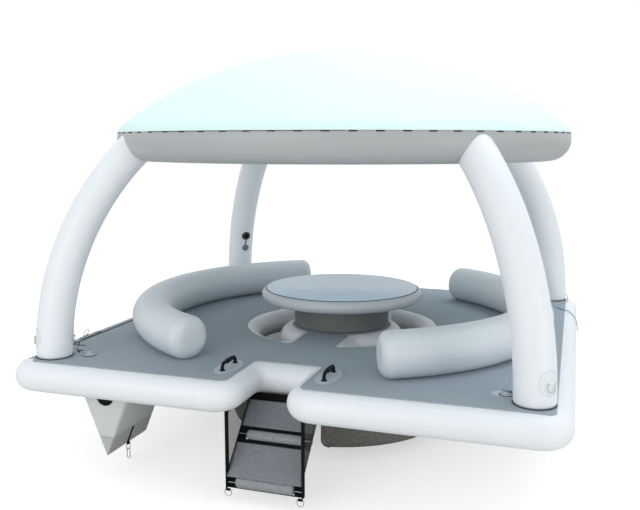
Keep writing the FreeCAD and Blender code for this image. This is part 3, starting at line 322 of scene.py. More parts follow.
class Finishes(Enum):
    """Each finish. Most dress the record's material slot of the same name.

    The others are scene.py's own, and a piece that wears one names the slot that it belongs to:
    panel_mesh, port_cloth, edge_tape, dull_steel, slab_fabric, rim_tape,
    valve_cap, stitching.
    """

    white_coated_fabric = Finish(linear(240, 243, 246), Texture.COATED, 0.42, 0.012, 0.0012, 0.0012)
    light_coated_fabric = Finish(linear(219, 225, 231), Texture.COATED, 0.42, 0.015, 0.0012, 0.0012)
    ring_coated_fabric = Finish(linear(178, 181, 182), Texture.COATED, 0.45, 0.015, 0.0012, 0.0012)
    pedestal_coated_fabric = Finish(linear(122, 123, 122), Texture.COATED, 0.5, 0.02, 0.0012, 0.001)
    deck_foam = Finish(linear(165, 176, 186), Texture.FOAM, 0.8, 0.03, 0.0035, 0.0004, shine=0.4)
    table_foam = Finish(linear(224, 239, 255), Texture.FOAM, 0.38, 0.012, 0.0025, 0.0002, shine=1.0,
                        grain=0.97)
    roll_foam = Finish(linear(166, 171, 175), Texture.FOAM, 0.85, 0.06, 0.006, 0.001, shine=0.2, grain=0.66)
    basket_mesh = Finish(linear(160, 158, 152), Texture.MESH, 0.85, 0.05, 0.005, 0.0008, shine=0.15,
                         opacity=0.62, gap_colour=linear(130, 128, 122))
    ladder_mesh = Finish(linear(152, 157, 162), Texture.MESH, 0.85, 0.05, 0.004, 0.0008, shine=0.15,
                         opacity=0.96, gap_colour=linear(134, 138, 143))
    panel_mesh = Finish(linear(112, 114, 108), Texture.MESH, 0.85, 0.05, 0.004, 0.0006, shine=0.1,
                        opacity=0.44, gap_colour=linear(76, 77, 72))
    webbing = Finish(linear(22, 24, 26), Texture.WEBBING, 0.85, 0.05, 0.003, 0.0006, shine=0.12)
    bag_cloth = Finish(linear(216, 219, 219), Texture.CLOTH, 0.6, 0.03, 0.0015, 0.0002, shine=0.3)
    bag_mesh = Finish(linear(212, 214, 210), Texture.MESH, 0.75, 0.04, 0.005, 0.0005, shine=0.2,
                      gap_colour=linear(186, 188, 184))
    cover_cloth = Finish(linear(232, 255, 255), Texture.CLOTH, 0.6, 0.008, 0.0015, 0.0001, shine=0.4)
    pole = Finish(linear(214, 214, 208), Texture.MOULDED, 0.4, 0.03, 0.001, 0.0001)
    steel = Finish(linear(196, 197, 199), Texture.METAL, 0.28, 0.03, 0.001, 0.0001, metallic=1.0)
    tube = Finish(linear(205, 206, 208), Texture.METAL, 0.34, 0.03, 0.001, 0.0001, metallic=1.0)
    grip = Finish(linear(8, 10, 15), Texture.MOULDED, 0.5, 0.08, 0.0012, 0.0003, shine=0.15)
    patch = Finish(linear(236, 238, 240), Texture.COATED, 0.5, 0.02, 0.0012, 0.0006,
                   deck_colour=linear(190, 200, 210))
    valve_plastic = Finish(linear(58, 60, 60), Texture.MOULDED, 0.4, 0.05, 0.0015, 0.0003, shine=0.3)
    cord = Finish(linear(208, 210, 212), Texture.BRAID, 0.8, 0.06, 0.003, 0.0006, shine=0.2)
    port_cloth = Finish(linear(24, 26, 27), Texture.CLOTH, 0.8, 0.06, 0.002, 0.0004, shine=0.1)
    # Dark tape: real on the deck's ring straps and the hem seam, painted shade where it lines the pads' edges
    # and rings the legs' feet
    edge_tape = Finish(linear(82, 89, 96), Texture.WEBBING, 0.8, 0.04, 0.003, 0.0003, shine=0.2)
    dull_steel = Finish(linear(104, 108, 112), Texture.METAL, 0.45, 0.03, 0.001, 0.0001, metallic=0.6)
    # A darker copy of light_coated_fabric for the tabletop's side wall: painted shade from the canopy above
    # it
    slab_fabric = Finish(linear(198, 203, 208), Texture.COATED, 0.42, 0.015, 0.0012, 0.0012)
    # Grey of the hull's left rolled edge where it turns from the light: painted shade
    rim_tape = Finish(linear(176, 184, 190), Texture.COATED, 0.5, 0.02, 0.0012, 0.0006)
    valve_cap = Finish(linear(124, 127, 127), Texture.MOULDED, 0.45, 0.06, 0.0015, 0.0003, shine=0.3)
    stitching = Finish(linear(168, 172, 175), Texture.BRAID, 0.8, 0.08, 0.002, 0.0003, shine=0.2)


# Nodes whose finish isn't the one of their slot
OWN_FINISH = {"left_deck_ring": Finishes.dull_steel, "right_deck_ring": Finishes.dull_steel,
              "left_side_ring": Finishes.dull_steel, "canopy_valve_cap": Finishes.valve_cap}


def grid_faces(rows: int, columns: int, wrap_rows: bool = False, wrap_columns: bool = False) -> np.ndarray:
    """Corner numbers of the quads of a grid whose points are numbered row by row.

    Quad (i, j) joins points (i, j), (i + 1, j), (i + 1, j + 1) and (i, j + 1), counted round where
    the grid wraps.
    """
    i = np.arange(rows if wrap_rows else rows - 1)[:, None]
    j = np.arange(columns if wrap_columns else columns - 1)[None, :]
    down, right = (i + 1) % rows, (j + 1) % columns
    quads = np.stack(np.broadcast_arrays(i * columns + j, down * columns + j, down * columns + right,
                                         i * columns + right), -1)
    return quads.reshape(-1, 4)


def make_object(name: str, vertices: np.ndarray, faces: list, along: np.ndarray | None = None) -> Piece:
    """A smooth mesh object at the origin.

    Args:
        name: Name of the object.
        vertices: Points, one row each.
        faces: Lists of corner numbers.
        along: The surface's own map in metres, one row for each point.

    Returns:
        The object, linked to the scene.
    """
    mesh = bpy.data.meshes.new(name)
    mesh.from_pydata(np.asarray(vertices, float).reshape(-1, 3).tolist(), [], faces)
    mesh.polygons.foreach_set("use_smooth", np.ones(len(mesh.polygons), bool))
    if along is not None:
        corners = np.zeros(len(mesh.loops), np.int32)
        mesh.loops.foreach_get("vertex_index", corners)
        layer = mesh.uv_layers.new(name="UVMap")
        layer.data.foreach_set("uv", np.asarray(along, np.float32).reshape(-1, 2)[corners].ravel())
    mesh.update()
    obj = bpy.data.objects.new(name, mesh)
    bpy.context.scene.collection.objects.link(obj)
    return obj


def weld(obj: Piece, distance: float = 1e-5) -> Piece:
    """Merge the object's doubled points and turn its faces outwards."""
    work = bmesh.new()
    work.from_mesh(obj.data)
    bmesh.ops.remove_doubles(work, verts=work.verts, dist=distance)
    bmesh.ops.recalc_face_normals(work, faces=work.faces)
    work.to_mesh(obj.data)
    work.free()
    return obj


def grid_object(name: str, points: np.ndarray, wrap_rows: bool = False, wrap_columns: bool = False,
                capped: bool = False) -> Piece:
    """A surface from a grid of points, with its own map measured along its two directions.

    Args:
        name: Name of the object.
        points: Grid of points, rows by columns by three.
        wrap_rows: Join the last row to the first.
        wrap_columns: Join the last column to the first.
        capped: Close the first and last rows with a face each.

    Returns:
        The object.
    """
    rows, columns = points.shape[:2]
    faces = grid_faces(rows, columns, wrap_rows, wrap_columns).tolist()
    if capped:
        faces += [list(range(columns))[::-1], list(range((rows - 1) * columns, rows * columns))]
    down = np.zeros((rows, columns))
    right = np.zeros((rows, columns))
    down[1:] = np.cumsum(np.linalg.norm(np.diff(points, axis=0), axis=2), axis=0)
    right[:, 1:] = np.cumsum(np.linalg.norm(np.diff(points, axis=1), axis=2), axis=1)
    return weld(make_object(name, points, faces, np.stack([right, down], -1)))


def turned(profile: np.ndarray, steps: int = 128) -> np.ndarray:
    """Grid of a profile turned about the Z axis.

    A point at radius r, height z and turn a is (r cos a, r sin a, z).
    """
    return swept(profile, np.linspace(0, 2 * pi, steps, endpoint=False))


def swept(profile: np.ndarray, angles: np.ndarray) -> np.ndarray:
    """Grid of a profile of radii and heights at each of the given turns about the Z axis."""
    angle = angles[:, None]
    radius, height = profile[:, 0][None], profile[:, 1][None]
    return np.stack([radius * np.cos(angle), radius * np.sin(angle), height + 0 * angle], -1)


def thicken(obj: Piece, thickness: float) -> Piece:
    """Give a sheet its thickness, half on each side, with a Solidify modifier."""
    modifier = obj.modifiers.new("cloth_thickness", "SOLIDIFY")
    modifier.thickness = thickness
    modifier.offset = 0.0
    modifier.use_rim = True
    return obj


@dataclass(frozen=True)
class Outline:
    """A closed line in plan, with the direction that points out of the material at each point."""

    points: np.ndarray
    out: np.ndarray

    def inset(self, depth: float | np.ndarray) -> np.ndarray:
        """Points moved into the material: each point less its outward direction times the depth."""
        return self.points - self.out * depth

    def hollow(self) -> "Outline":
        """The same line round an opening, with the material outside it."""
        return Outline(self.points, -self.out)


def rounded_outline(corners: np.ndarray, radii: np.ndarray, spacing: float = 0.06,
                    bends: int = 15) -> Outline:
    """Closed outline through corners, each rounded by an arc that touches both its sides.

    An arc starts and ends at radius times tan(half the turn) from its corner, or at half the
    shorter side where that is nearer. Infinite radii make neighbouring corners one smooth curve.

    Args:
        corners: Corner points, anticlockwise.
        radii: Radius at each corner.
        spacing: Longest step along straight runs.
        bends: Points on each arc.

    Returns:
        The outline, material inside it.
    """
    corners, radii = np.asarray(corners, float), np.asarray(radii, float)
    came, goes = corners - np.roll(corners, 1, axis=0), np.roll(corners, -1, axis=0) - corners
    came_length, goes_length = np.linalg.norm(came, axis=1), np.linalg.norm(goes, axis=1)
    came, goes = came / came_length[:, None], goes / goes_length[:, None]
    turn = np.arctan2(came[:, 0] * goes[:, 1] - came[:, 1] * goes[:, 0], (came * goes).sum(1))
    reach = np.minimum(radii * np.tan(np.abs(turn) / 2), 0.5 * np.minimum(came_length, goes_length))
    radius = reach / np.tan(np.abs(turn) / 2)
    side = np.sign(turn)
    left = np.stack([-came[:, 1], came[:, 0]], 1)
    centre = corners - came * reach[:, None] + left * (side * radius)[:, None]
    share = np.linspace(0, 1, bends)[None, :]
    heading = np.arctan2(came[:, 1], came[:, 0])[:, None] + turn[:, None] * share
    normal = np.stack([np.sin(heading), -np.cos(heading)], -1)
    points = centre[:, None, :] + normal * (side * radius)[:, None, None]
    points, normal = points.reshape(-1, 2), normal.reshape(-1, 2)
    closed = np.vstack([points, points[:1]])
    turned_out = np.vstack([normal, normal[:1]])
    run = np.concatenate([[0], np.cumsum(np.linalg.norm(np.diff(closed, axis=0), axis=1))])
    run += np.arange(len(run)) * 1e-9
    steps = np.unique(np.concatenate([run[:-1], np.arange(0, run[-1], spacing)]))
    keep = np.concatenate([[True], np.diff(steps) > 1e-4])
    steps = steps[keep]
    points = np.stack([np.interp(steps, run, closed[:, k]) for k in (0, 1)], 1)
    out = np.stack([np.interp(steps, run, turned_out[:, k]) for k in (0, 1)], 1)
    return Outline(points, out / np.linalg.norm(out, axis=1)[:, None])


def flat_fill(loops: list[np.ndarray], level: float) -> tuple[np.ndarray, list]:
    """Level face between an outer loop and the loops of its openings.

    Args:
        loops: Plan points of the outer loop and then of each opening.
        level: Height of the face.

    Returns:
        The points and the triangles.
    """
    points = [[Vector((x, y, 0.0)) for x, y in loop] for loop in loops]
    flat = np.vstack(loops)
    return np.column_stack([flat, np.full(len(flat), level)]), [list(t) for t in tessellate_polygon(points)]


def wall_rows(outline: Outline, insets: np.ndarray, levels: np.ndarray) -> np.ndarray:
    """Grid of a wall round an outline, one row for each inset and level."""
    plan = outline.points[None] - outline.out[None] * insets[:, None, None]
    return np.concatenate([plan, np.broadcast_to(levels[:, None, None], plan.shape[:2] + (1,))], -1)


def joined(parts: list[tuple[np.ndarray, list]]) -> tuple[np.ndarray, list]:
    """Points and faces of several parts, each given by its own, numbered as one."""
    vertices, faces, total = [], [], 0
    for points, corners in parts:
        faces += [[c + total for c in face] for face in corners]
        vertices.append(points.reshape(-1, 3))
        total += len(vertices[-1])
    return np.vstack(vertices), faces


def banded(name: str, outlines: list[Outline], insets: np.ndarray, levels: np.ndarray) -> Piece:
    """A closed slab whose wall follows a profile of insets and levels round each of its outlines.

    Args:
        name: Name of the object.
        outlines: The outer outline and then those of the openings.
        insets: Depth of each wall row into the material, from the bottom up.
        levels: Height of each wall row.

    Returns:
        The object.
    """
    parts = [(wall_rows(outline, insets, levels), grid_faces(len(levels), len(outline.points), False,
                                                             True).tolist())
             for outline in outlines]
    parts += [flat_fill([o.inset(insets[row]) for o in outlines], levels[row]) for row in (-1, 0)]
    return weld(make_object(name, *joined(parts)), 2e-5)


class Maker:
    """What every sub-assembly shares: dressing its pieces and reporting them."""

    def dress(self, obj: Piece, finish: Finishes, *nodes: str, slot: str | None = None,
              body: str = PLATFORM) -> Piece:
        """Give a piece its finish and body, and hide the nodes that it stands for.

        Args:
            obj: The piece.
            finish: Its finish.
            *nodes: Names of the nodes that it replaces.
            slot: Material slot, where it isn't the finish's own name; not used.
            body: Name of the body that it rides on.

        Returns:
            The piece.
        """
        obj.data.materials.clear()
        obj.data.materials.append(finish.value.build(finish.name))
        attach(obj, body)
        if nodes:
            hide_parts(*nodes)
        LOG.info("made %s in %s", obj.name, finish.name)
        return obj


@dataclass
class Deck(Maker):
    """The drop-stitch hull and the foam pad on it."""

    level: float = 0.800
    half: float = 1.830
    thickness: float = 0.200
    pad: float = 0.005
    corner: float = 0.190
    pad_corner: float = 0.045
    notch_half: float = 0.149
    notch_depth: float = 0.486
    pad_notch_half: float = 0.239
    pad_notch_radius: float = 0.060
    opening: float = 0.666
    hub: float = 0.500
    bridge_half: float = 0.267
    left_margin: float = 0.045
    margin_start: float = 1.6
    margin_run: float = 0.08
    # Section of the dark strip of painted shade along the pad's left edge
    tape_across: tuple = (-0.0100, -0.0090, 0.0090, 0.0100)
    tape_up: tuple = (0.0001, 0.0011, 0.0011, 0.0001)

    @property
    def top(self) -> float:
        """Height of the hull's upper skin."""
        return self.level - self.pad

    @property
    def bottom(self) -> float:
        """Height of the hull's lower skin."""
        return self.top - self.thickness

    def plan(self, inset: float, notch_half: float, corner: float, entry: float, inner: float) -> Outline:
        """Outer outline of the deck with its notch, drawn in by an inset."""
        edge = self.half - inset
        back = -(self.half - self.notch_depth - inset)
        corners = [(-edge, -edge), (-notch_half, -edge), (-notch_half, back), (notch_half, back),
                   (notch_half, -edge), (edge, -edge), (edge, edge), (-edge, edge)]
        return rounded_outline(np.array(corners), np.array([corner, entry, inner, inner, entry, corner,
                                                            corner, corner]))

    def well(self, side: int, inset: float, inner: float) -> Outline:
        """Outline of one footwell opening: an outer arc, the bridge's side and the hub's arc."""
        outer, hub, bridge = self.opening + inset, self.hub - inset, self.bridge_half - inset
        wide, narrow = acos(bridge / outer), acos(bridge / hub)
        out = np.linspace(-wide, wide, 25)
        back = np.linspace(narrow, -narrow, 21)
        grow = 1 / cos((out[1] - out[0]) / 2)
        arc = np.stack([np.cos(out), np.sin(out)], 1) * outer
        arc[1:-1] *= grow
        hub_arc = np.stack([np.cos(back), np.sin(back)], 1) * hub
        hub_arc[1:-1] *= grow
        corners = np.vstack([arc, hub_arc])
        radii = np.full(len(corners), np.inf)
        radii[[0, len(arc) - 1, len(arc), len(corners) - 1]] = inner
        if side < 0:
            corners, radii = (corners * [-1, 1])[::-1], radii[::-1]
        return rounded_outline(corners, radii, bends=6).hollow()

    def hull(self) -> Piece:
        """The hull: walls that bulge as half circles between two level skins.

        At angle t the wall lies bulge times (1 - cos t) inside the plan and bulge times sin t
        above the hull's middle.
        """
        bulge = self.thickness / 2
        t = np.linspace(-pi / 2, pi / 2, 25)
        insets = bulge * (1 - np.cos(t))
        levels = (self.top + self.bottom) / 2 + bulge * np.sin(t)
        outlines = [self.plan(0, self.notch_half, self.corner, self.corner, 0.022),
                    self.well(1, 0, 0.018), self.well(-1, 0, 0.018)]
        return self.dress(banded("hull_skin", outlines, insets, levels), Finishes.white_coated_fabric,
                          "deck_hull")

    def pad_outlines(self) -> list[Outline]:
        """The pad's outer outline, drawn in at its left edge, and its two openings."""
        inset = self.thickness / 2
        outer = self.plan(inset, self.pad_notch_half, self.pad_corner, self.pad_notch_radius, 0.025)
        outer.points[:, 0] += self.left_margin * np.clip(
            (-self.margin_start - outer.points[:, 0]) / self.margin_run, 0.0, 1.0)
        return [outer, self.well(1, inset, 0.025), self.well(-1, inset, 0.025)]

    def traction_pad(self) -> Piece:
        """The foam pad: a thin slab whose upper edge is cut at a small slant."""
        insets = np.array([0.0, 0.0, 0.0012, 0.004])
        levels = self.top + np.array([0.0, 0.6, 0.92, 1.0]) * self.pad
        pad = self.dress(banded("foam_deck_pad", self.pad_outlines(), insets, levels), Finishes.deck_foam,
                         "traction_pad")
        return pad

    def edge_line(self) -> Piece:
        """Painted shade along the pad's left edge: a dark strip, level on the pad, 20 mm wide, standing for
        the shade in the groove between the pad and the hull's rim.
        """
        edge = -(self.half - self.thickness / 2) + self.left_margin + 0.010
        y = np.linspace(-self.half + 0.19, self.half - 0.15, 60)[:, None]
        x = edge + np.array(self.tape_across)[None]
        z = self.level + np.array(self.tape_up)[None]
        x, y, z = np.broadcast_arrays(x, y, z)
        tape = grid_object("pad_edge_tape", np.stack([x, y, z], -1), False, True, True)
        return self.dress(tape, Finishes.edge_tape, slot="webbing")

    def rim_tape(self) -> Piece:
        """Painted shade on the hull's left rolled edge: a grey strip from beside the pad's left edge to 38
        degrees down the roll, where the white hull turns from the light.
        """
        r = self.thickness / 2
        turn = np.radians(np.linspace(90, 52, 10))
        across = np.concatenate([[-(self.half - r) + self.left_margin - 0.002],
                                 -(self.half - r) - r * np.cos(turn)])
        height = np.concatenate([[self.top], self.top - r + r * np.sin(turn)])
        lift = 0.0008 * np.sin(np.linspace(0, pi, 11))
        y = np.linspace(-self.half + 0.16, self.half - 0.16, 60)[:, None]
        x, y, z = np.broadcast_arrays(across[None], y, (height + lift)[None])
        tape = grid_object("left_rim_tape", np.stack([x, y, z], -1), False, True, True)
        return self.dress(tape, Finishes.rim_tape, slot="patch")

    def build(self) -> None:
        """Make the hull, the pad, and the two strips of painted shade beside the pad's left edge."""
        self.hull()
        self.traction_pad()
        self.edge_line()
        self.rim_tape()


@dataclass
class Footwells(Maker):
    """The two mesh baskets and the welded bands that hold them."""

    deck: Deck
    radius: float = 0.888
    inner: float = 0.090
    depth: float = 0.526
    corner: float = 0.075
    floor_edge: float = 0.060
    band: float = 0.045
    wall_inset: float = 0.006
    belly: float = 0.002
    floor_lift: float = 0.002
    floor_centre: float = 0.36
    mesh: float = 0.002
    cut_width: float = 1.9
    cut_allowance: float = 1.08

    def outline(self, side: int, grow: float) -> Outline:
        """Plan of one basket: an arc about the middle, closed by a straight wall, grown sideways."""
        radius, wall = self.radius + grow, self.inner - grow
        wide = acos(wall / radius)
        turn = np.linspace(-wide, wide, 29)
        arc = np.stack([np.cos(turn), np.sin(turn)], 1) * radius
        arc[1:-1] /= cos((turn[1] - turn[0]) / 2)
        radii = np.full(len(arc), np.inf)
        radii[[0, -1]] = self.corner + grow
        corners = arc
        if side < 0:
            corners, radii = (corners * [-1, 1])[::-1], radii[::-1]
        return rounded_outline(corners, radii, bends=8)

    def basket(self, name: str, side: int) -> Piece:
        """One basket: a mesh wall drawn in by 6 to 8 mm, rounded into a level floor.

        The wall's inset is 6 mm plus 2 mm times a sine of its depth, and the floor is the lowest
        row drawn towards the basket's middle.
        """
        outline = self.outline(side, 0)
        low = self.deck.bottom - self.depth
        t = np.linspace(0, 1, 14)
        wall_levels = self.deck.bottom - 0.001 - t * (self.depth - self.floor_edge)
        wall_insets = self.wall_inset + self.belly * np.sin(pi * t)
        bend = np.linspace(0, pi / 2, 8)[1:]
        edge_levels = low + self.floor_edge * (1 - np.sin(bend)) + self.floor_lift
        edge_insets = self.wall_inset + self.floor_edge * (1 - np.cos(bend))
        insets = np.concatenate([wall_insets, edge_insets])
        levels = np.concatenate([wall_levels, edge_levels])
        rows = wall_rows(outline, insets, levels)
        centre = np.array([side * (self.inner + self.floor_centre), 0.0, low + self.floor_lift])
        share = np.linspace(0, 1, 10)[1:, None, None]
        floor = rows[-1][None] * (1 - share) + centre * share
        floor[..., 2] = low + self.floor_lift
        points = np.concatenate([rows, floor])
        basket = grid_object(name + "_mesh_basket", points, False, True)
        thicken(basket, self.mesh)
        self.dress(basket, Finishes.basket_mesh, name + "_footwell_basket")
        area = sheet_area(basket)
        LOG.info("basket cloth %.2f m2", area)
        return basket

    def bands(self) -> Piece:
        """The welded bands: upright strips round the baskets' upper edges."""
        parts = []
        for side in (1, -1):
            outer, inner = self.outline(side, 0.0033), self.outline(side, 0.0003)
            loops = [(outer, self.deck.bottom), (outer, self.deck.bottom - self.band),
                     (inner, self.deck.bottom - self.band), (inner, self.deck.bottom)]
            count = min(len(o.points) for o, _ in loops)
            rows = [np.column_stack([resample(o.points, count), np.full(count, z)]) for o, z in loops]
            parts.append((np.stack(rows), grid_faces(4, count, True, True).tolist()))
        bands = weld(make_object("basket_bands", *joined(parts)))
        return self.dress(bands, Finishes.white_coated_fabric, "footwell_bands")

    def build(self) -> None:
        """Make the bands and both baskets."""
        self.bands()
        for name, side in SIDES.items():
            self.basket(name, side)


def resample(points: np.ndarray, count: int) -> np.ndarray:
    """A closed line's points, spread evenly along it."""
    closed = np.vstack([points, points[:1]])
    run = np.concatenate([[0], np.cumsum(np.linalg.norm(np.diff(closed, axis=0), axis=1))])
    steps = np.linspace(0, run[-1], count, endpoint=False)
    return np.stack([np.interp(steps, run, closed[:, k]) for k in range(points.shape[1])], 1)


def sheet_area(obj: Piece) -> float:
    """Area of a sheet's faces before it gets its thickness."""
    areas = np.zeros(len(obj.data.polygons))
    obj.data.polygons.foreach_get("area", areas)
    return float(areas.sum())


@dataclass
class Table(Maker):
    """The drop-stitch pedestal, the round top and its foam pad."""

    deck: Deck
    pedestal: float = 0.383
    height: float = 0.210
    rounding: float = 0.018
    radius: float = 0.618
    bulge: float = 0.030
    thickness: float = 0.090
    pad_radius: float = 0.610

    def build(self) -> None:
        """Turn each profile about the middle axis."""
        low, high = self.deck.level, self.deck.level + self.height
        t = np.linspace(0, pi / 2, 7)
        r, e = self.pedestal, self.rounding
        up = np.linspace(0, 1, 12)
        wall = np.stack([r - 0.004 + 0.004 * np.sin(pi * up), low + e + (self.height - 2 * e) * up], 1)
        foot = np.stack([r - e - 0.004 + e * np.sin(t), low + e - e * np.cos(t)], 1)
        head = np.stack([r - e - 0.004 + e * np.cos(t), high - e + e * np.sin(t)], 1)
        profile = np.vstack([[0, low], foot, wall[1:-1], head, [0, high]])
        drum = grid_object("pedestal_drum", turned(profile), True)
        self.dress(drum, Finishes.pedestal_coated_fabric, "table_pedestal")
        base, mid = high, self.thickness / 2
        arc = (mid ** 2 + self.bulge ** 2) / (2 * self.bulge)
        half = asin(mid / arc)
        a = np.linspace(-half, half, 21)
        side = np.stack([self.radius + self.bulge - arc + arc * np.cos(a), base + mid + arc * np.sin(a)], 1)
        profile = np.vstack([[0, base], side, [0, base + self.thickness]])
        top = grid_object("round_tabletop", turned(profile, 160), True)
        # The tabletop's side wall wears a darker copy of its slot's colour: painted shade
        self.dress(top, Finishes.slab_fabric, "tabletop", slot="light_coated_fabric")
        level = base + self.thickness
        p = self.pad_radius
        profile = np.array([[0, level], [p, level], [p, level + 0.0035], [p - 0.0015, level + 0.005],
                            [0, level + 0.005]])
        pad = grid_object("table_foam_pad", turned(profile, 160), True)
        self.dress(pad, Finishes.table_foam, "tabletop_pad")
        # A dark bead round the table pad's rim: painted shade in the joint between the pad and the tabletop
        rim = np.array([[p - 0.0005, level + 0.0046], [p + 0.0055, level + 0.001],
                        [p + 0.0055, level + 0.0002],
                        [p - 0.0005, level + 0.0002]])
        tape = grid_object("table_pad_edge", turned(rim, 160), True, True)
        self.dress(tape, Finishes.edge_tape, slot="webbing")


@dataclass
class Backrests(Maker):
    """The two curved bolsters that lie on the deck."""

    deck: Deck
    path: float = 1.508
    tube: float = 0.154
    front_angle: float = 25.5
    back_angle: float = 29.0
    rounding: float = 0.075
    flat: float = 0.008

    def bolster(self, name: str, side: int) -> Piece:
        """One bolster: a tube on an arc, domed at its ends and pressed flat where it lies.

        Its section's radius at a distance e from an end is tube - rounding + sqrt(rounding squared -
        (rounding - e) squared) while e is under the rounding, and the tube's radius beyond it. The
        ends are closed by a shallow dome.
        """
        start, stop = radians(self.front_angle - 90), radians(90 - self.back_angle)
        r, length = self.rounding, self.path * (stop - start)
        e = r * (1 - np.cos(np.linspace(0, pi / 2, 12)))
        along = np.concatenate([e, np.linspace(r, length - r, 90)[1:-1], length - e[::-1]])
        near = np.minimum(np.minimum(along, length - along), r)
        radius = self.tube - r + np.sqrt(np.maximum(r ** 2 - (r - near) ** 2, 0))
        cap = np.linspace(0, 1, 6)[:-1]
        face = self.tube - r
        along = np.concatenate([0 * cap, along, length + 0 * cap])
        radius = np.concatenate([face * cap, radius, face * cap[::-1]])
        angle = start + along / self.path
        section = np.linspace(0, 2 * pi, 64, endpoint=False)
        away = self.path + radius[:, None] * np.cos(section)[None]
        level = self.deck.level + self.tube - self.flat + radius[:, None] * np.sin(section)[None]
        points = np.stack([side * away * np.cos(angle)[:, None], away * np.sin(angle)[:, None],
                           np.maximum(level, self.deck.level)], -1)
        bolster = grid_object(name + "_bolster", points, False, True)
        return self.dress(bolster, Finishes.light_coated_fabric, name + "_backrest")

    def build(self) -> None:
        """Make both bolsters."""
        for name, side in SIDES.items():
            self.bolster(name, side)


@dataclass
class CanopyFrame(Maker):
    """The inflated ring, its four bowed legs, and the cover on the ring."""

    deck: Deck
    foot: float = 2.243
    leg: float = 0.122
    path: float = 1.577
    tube: float = 0.151
    height: float = 1.482
    crown: float = 2.172
    cloth: float = 0.003
    gap: float = 0.0003
    hem_angle: float = 23.0
    sag: float = 0.014
    sag_reach: float = 0.98
    seam_allowance: float = 1.1
    foot_rounding: float = 0.022
    neck_length: float = 0.030
    neck_inset: float = 0.020

    @property
    def arc(self) -> float:
        """Radius of a leg's bend: (run squared + height squared) over twice the run."""
        run = self.foot - self.path
        return (run ** 2 + self.height ** 2) / (2 * run)

    def ring(self) -> Piece:
        """The ring: a circle of the tube's radius carried round the path's radius."""
        section = np.linspace(0, 2 * pi, 65)[:-1]
        profile = np.stack([self.path + self.tube * np.cos(section),
                            self.deck.level + self.height + self.tube * np.sin(section)], 1)
        return self.dress(grid_object("inflated_ring", turned(profile, 192), True, True),
                          Finishes.ring_coated_fabric, "canopy_ring")

    def leg_tube(self, name: str, azimuth: float) -> Piece:
        """One leg: a circle carried along an arc that starts upright at its foot.

        With p the angle up the arc and q the angle round the section, a point lies at
        (arc + leg cos q) along the direction at p, and leg sin q to the side. The foot is drawn in
        by a rounding, and the head is necked where it lies inside the ring.
        """
        sweep = asin(self.height / self.arc)
        rounding = self.foot_rounding
        low = rounding * (1 - np.cos(np.linspace(0, pi / 2, 8)))
        rise = np.concatenate([low, np.linspace(rounding, self.arc * sweep, 72)[1:]])
        near = np.minimum(rise, rounding)
        radius = self.leg - rounding + np.sqrt(rounding ** 2 - (rounding - near) ** 2)
        radius = np.where(rise > sweep * self.arc - self.neck_length, self.leg - self.neck_inset, radius)
        p, q = (rise / self.arc)[:, None], np.linspace(0, 2 * pi, 64, endpoint=False)[None]
        out = np.array([cos(radians(azimuth)), sin(radians(azimuth))])
        side = np.array([-out[1], out[0]])
        reach = self.arc + radius[:, None] * np.cos(q)
        away = self.foot - self.arc + reach * np.cos(p)
        up = self.deck.level + reach * np.sin(p)
        up[0] = self.deck.level
        across = radius[:, None] * np.sin(q)
        points = np.stack([away * out[0] + across * side[0], away * out[1] + across * side[1], up], -1)
        return self.dress(grid_object(name + "_bowed_leg", points, False, True, True),
                          Finishes.white_coated_fabric, name + "_leg")

    def cover_profile(self) -> np.ndarray:
        """Profile of the cover from its hem to its crown."""
        outer = self.tube + self.gap + self.cloth / 2
        rise = self.crown - self.height
        whole = self.tube + self.gap + self.cloth
        below = (self.path ** 2 - (rise - whole) ** 2) / (2 * (rise - whole))
        dome = rise + below - self.cloth / 2
        level = self.deck.level + self.height
        lean = atan2(below, self.path)
        a = np.linspace(radians(self.hem_angle), lean, 12)
        b = np.linspace(lean, pi / 2, 40)[1:]
        low = np.stack([self.path + outer * np.cos(a), level + outer * np.sin(a)], 1)
        high = np.stack([dome * np.cos(b), level - below + dome * np.sin(b)], 1)
        return np.vstack([low, high])

    def cover(self) -> Piece:
        """The cover: one turned sheet that sags a little between the two poles.

        The sag is its greatest depth times the squared sine of twice the azimuth, times a hump over
        the radius.
        """
        points = turned(self.cover_profile(), 192)
        azimuth = np.arctan2(points[..., 1], points[..., 0])
        share = np.clip(np.hypot(points[..., 0], points[..., 1]) / (self.path * self.sag_reach), 0, 1)
        points[..., 2] -= self.sag * np.sin(2 * azimuth) ** 2 * np.sin(pi * share) ** 2
        cover = grid_object("canopy_sheet", points, True)
        area = sheet_area(cover)
        thicken(cover, self.cloth * 0.6)
        self.dress(cover, Finishes.cover_cloth, "canopy_cover")
        return cover

    def round_band(self, name: str, low: float, high: float, lift: float, thick: float,
                   start: float = 0.0, stop: float = 360.0) -> Piece:
        """A thin band on the ring tube between two angles on the tube and two azimuths, in degrees."""
        level = self.deck.level + self.height
        a = np.radians(np.linspace(low, high, 6))
        outer = self.tube + self.gap + self.cloth + lift
        rows = [np.stack([self.path + r * np.cos(a), level + r * np.sin(a)], 1) for r in (outer,
                                                                                          outer + thick)]
        profile = np.vstack([rows[0], rows[1][::-1]])
        whole = stop - start >= 360
        turn = np.radians(np.linspace(start, stop, 193 if whole else 49))
        return grid_object(name, swept(profile, turn[:-1] if whole else turn), whole, True, not whole)

    def hem(self) -> None:
        """The doubled hem that hangs over the tabs' upper half, and the dark seam below its left front."""
        hem = self.round_band("cover_hem", self.hem_angle - 3.9, self.hem_angle + 6.5, 0.0003, 0.0012)
        self.dress(hem, Finishes.cover_cloth)
        seam = self.round_band("hem_seam_tape", self.hem_angle - 5.0, self.hem_angle - 3.6, 0.0001, 0.0008,
                               -118.0, -73.0)
        self.dress(seam, Finishes.edge_tape, slot="webbing")

    def build(self) -> None:
        """Make the ring, the legs, the cover and its hem."""
        self.ring()
        for name, azimuth in LEGS.items():
            self.leg_tube(name, azimuth)
        self.cover()
        self.hem()


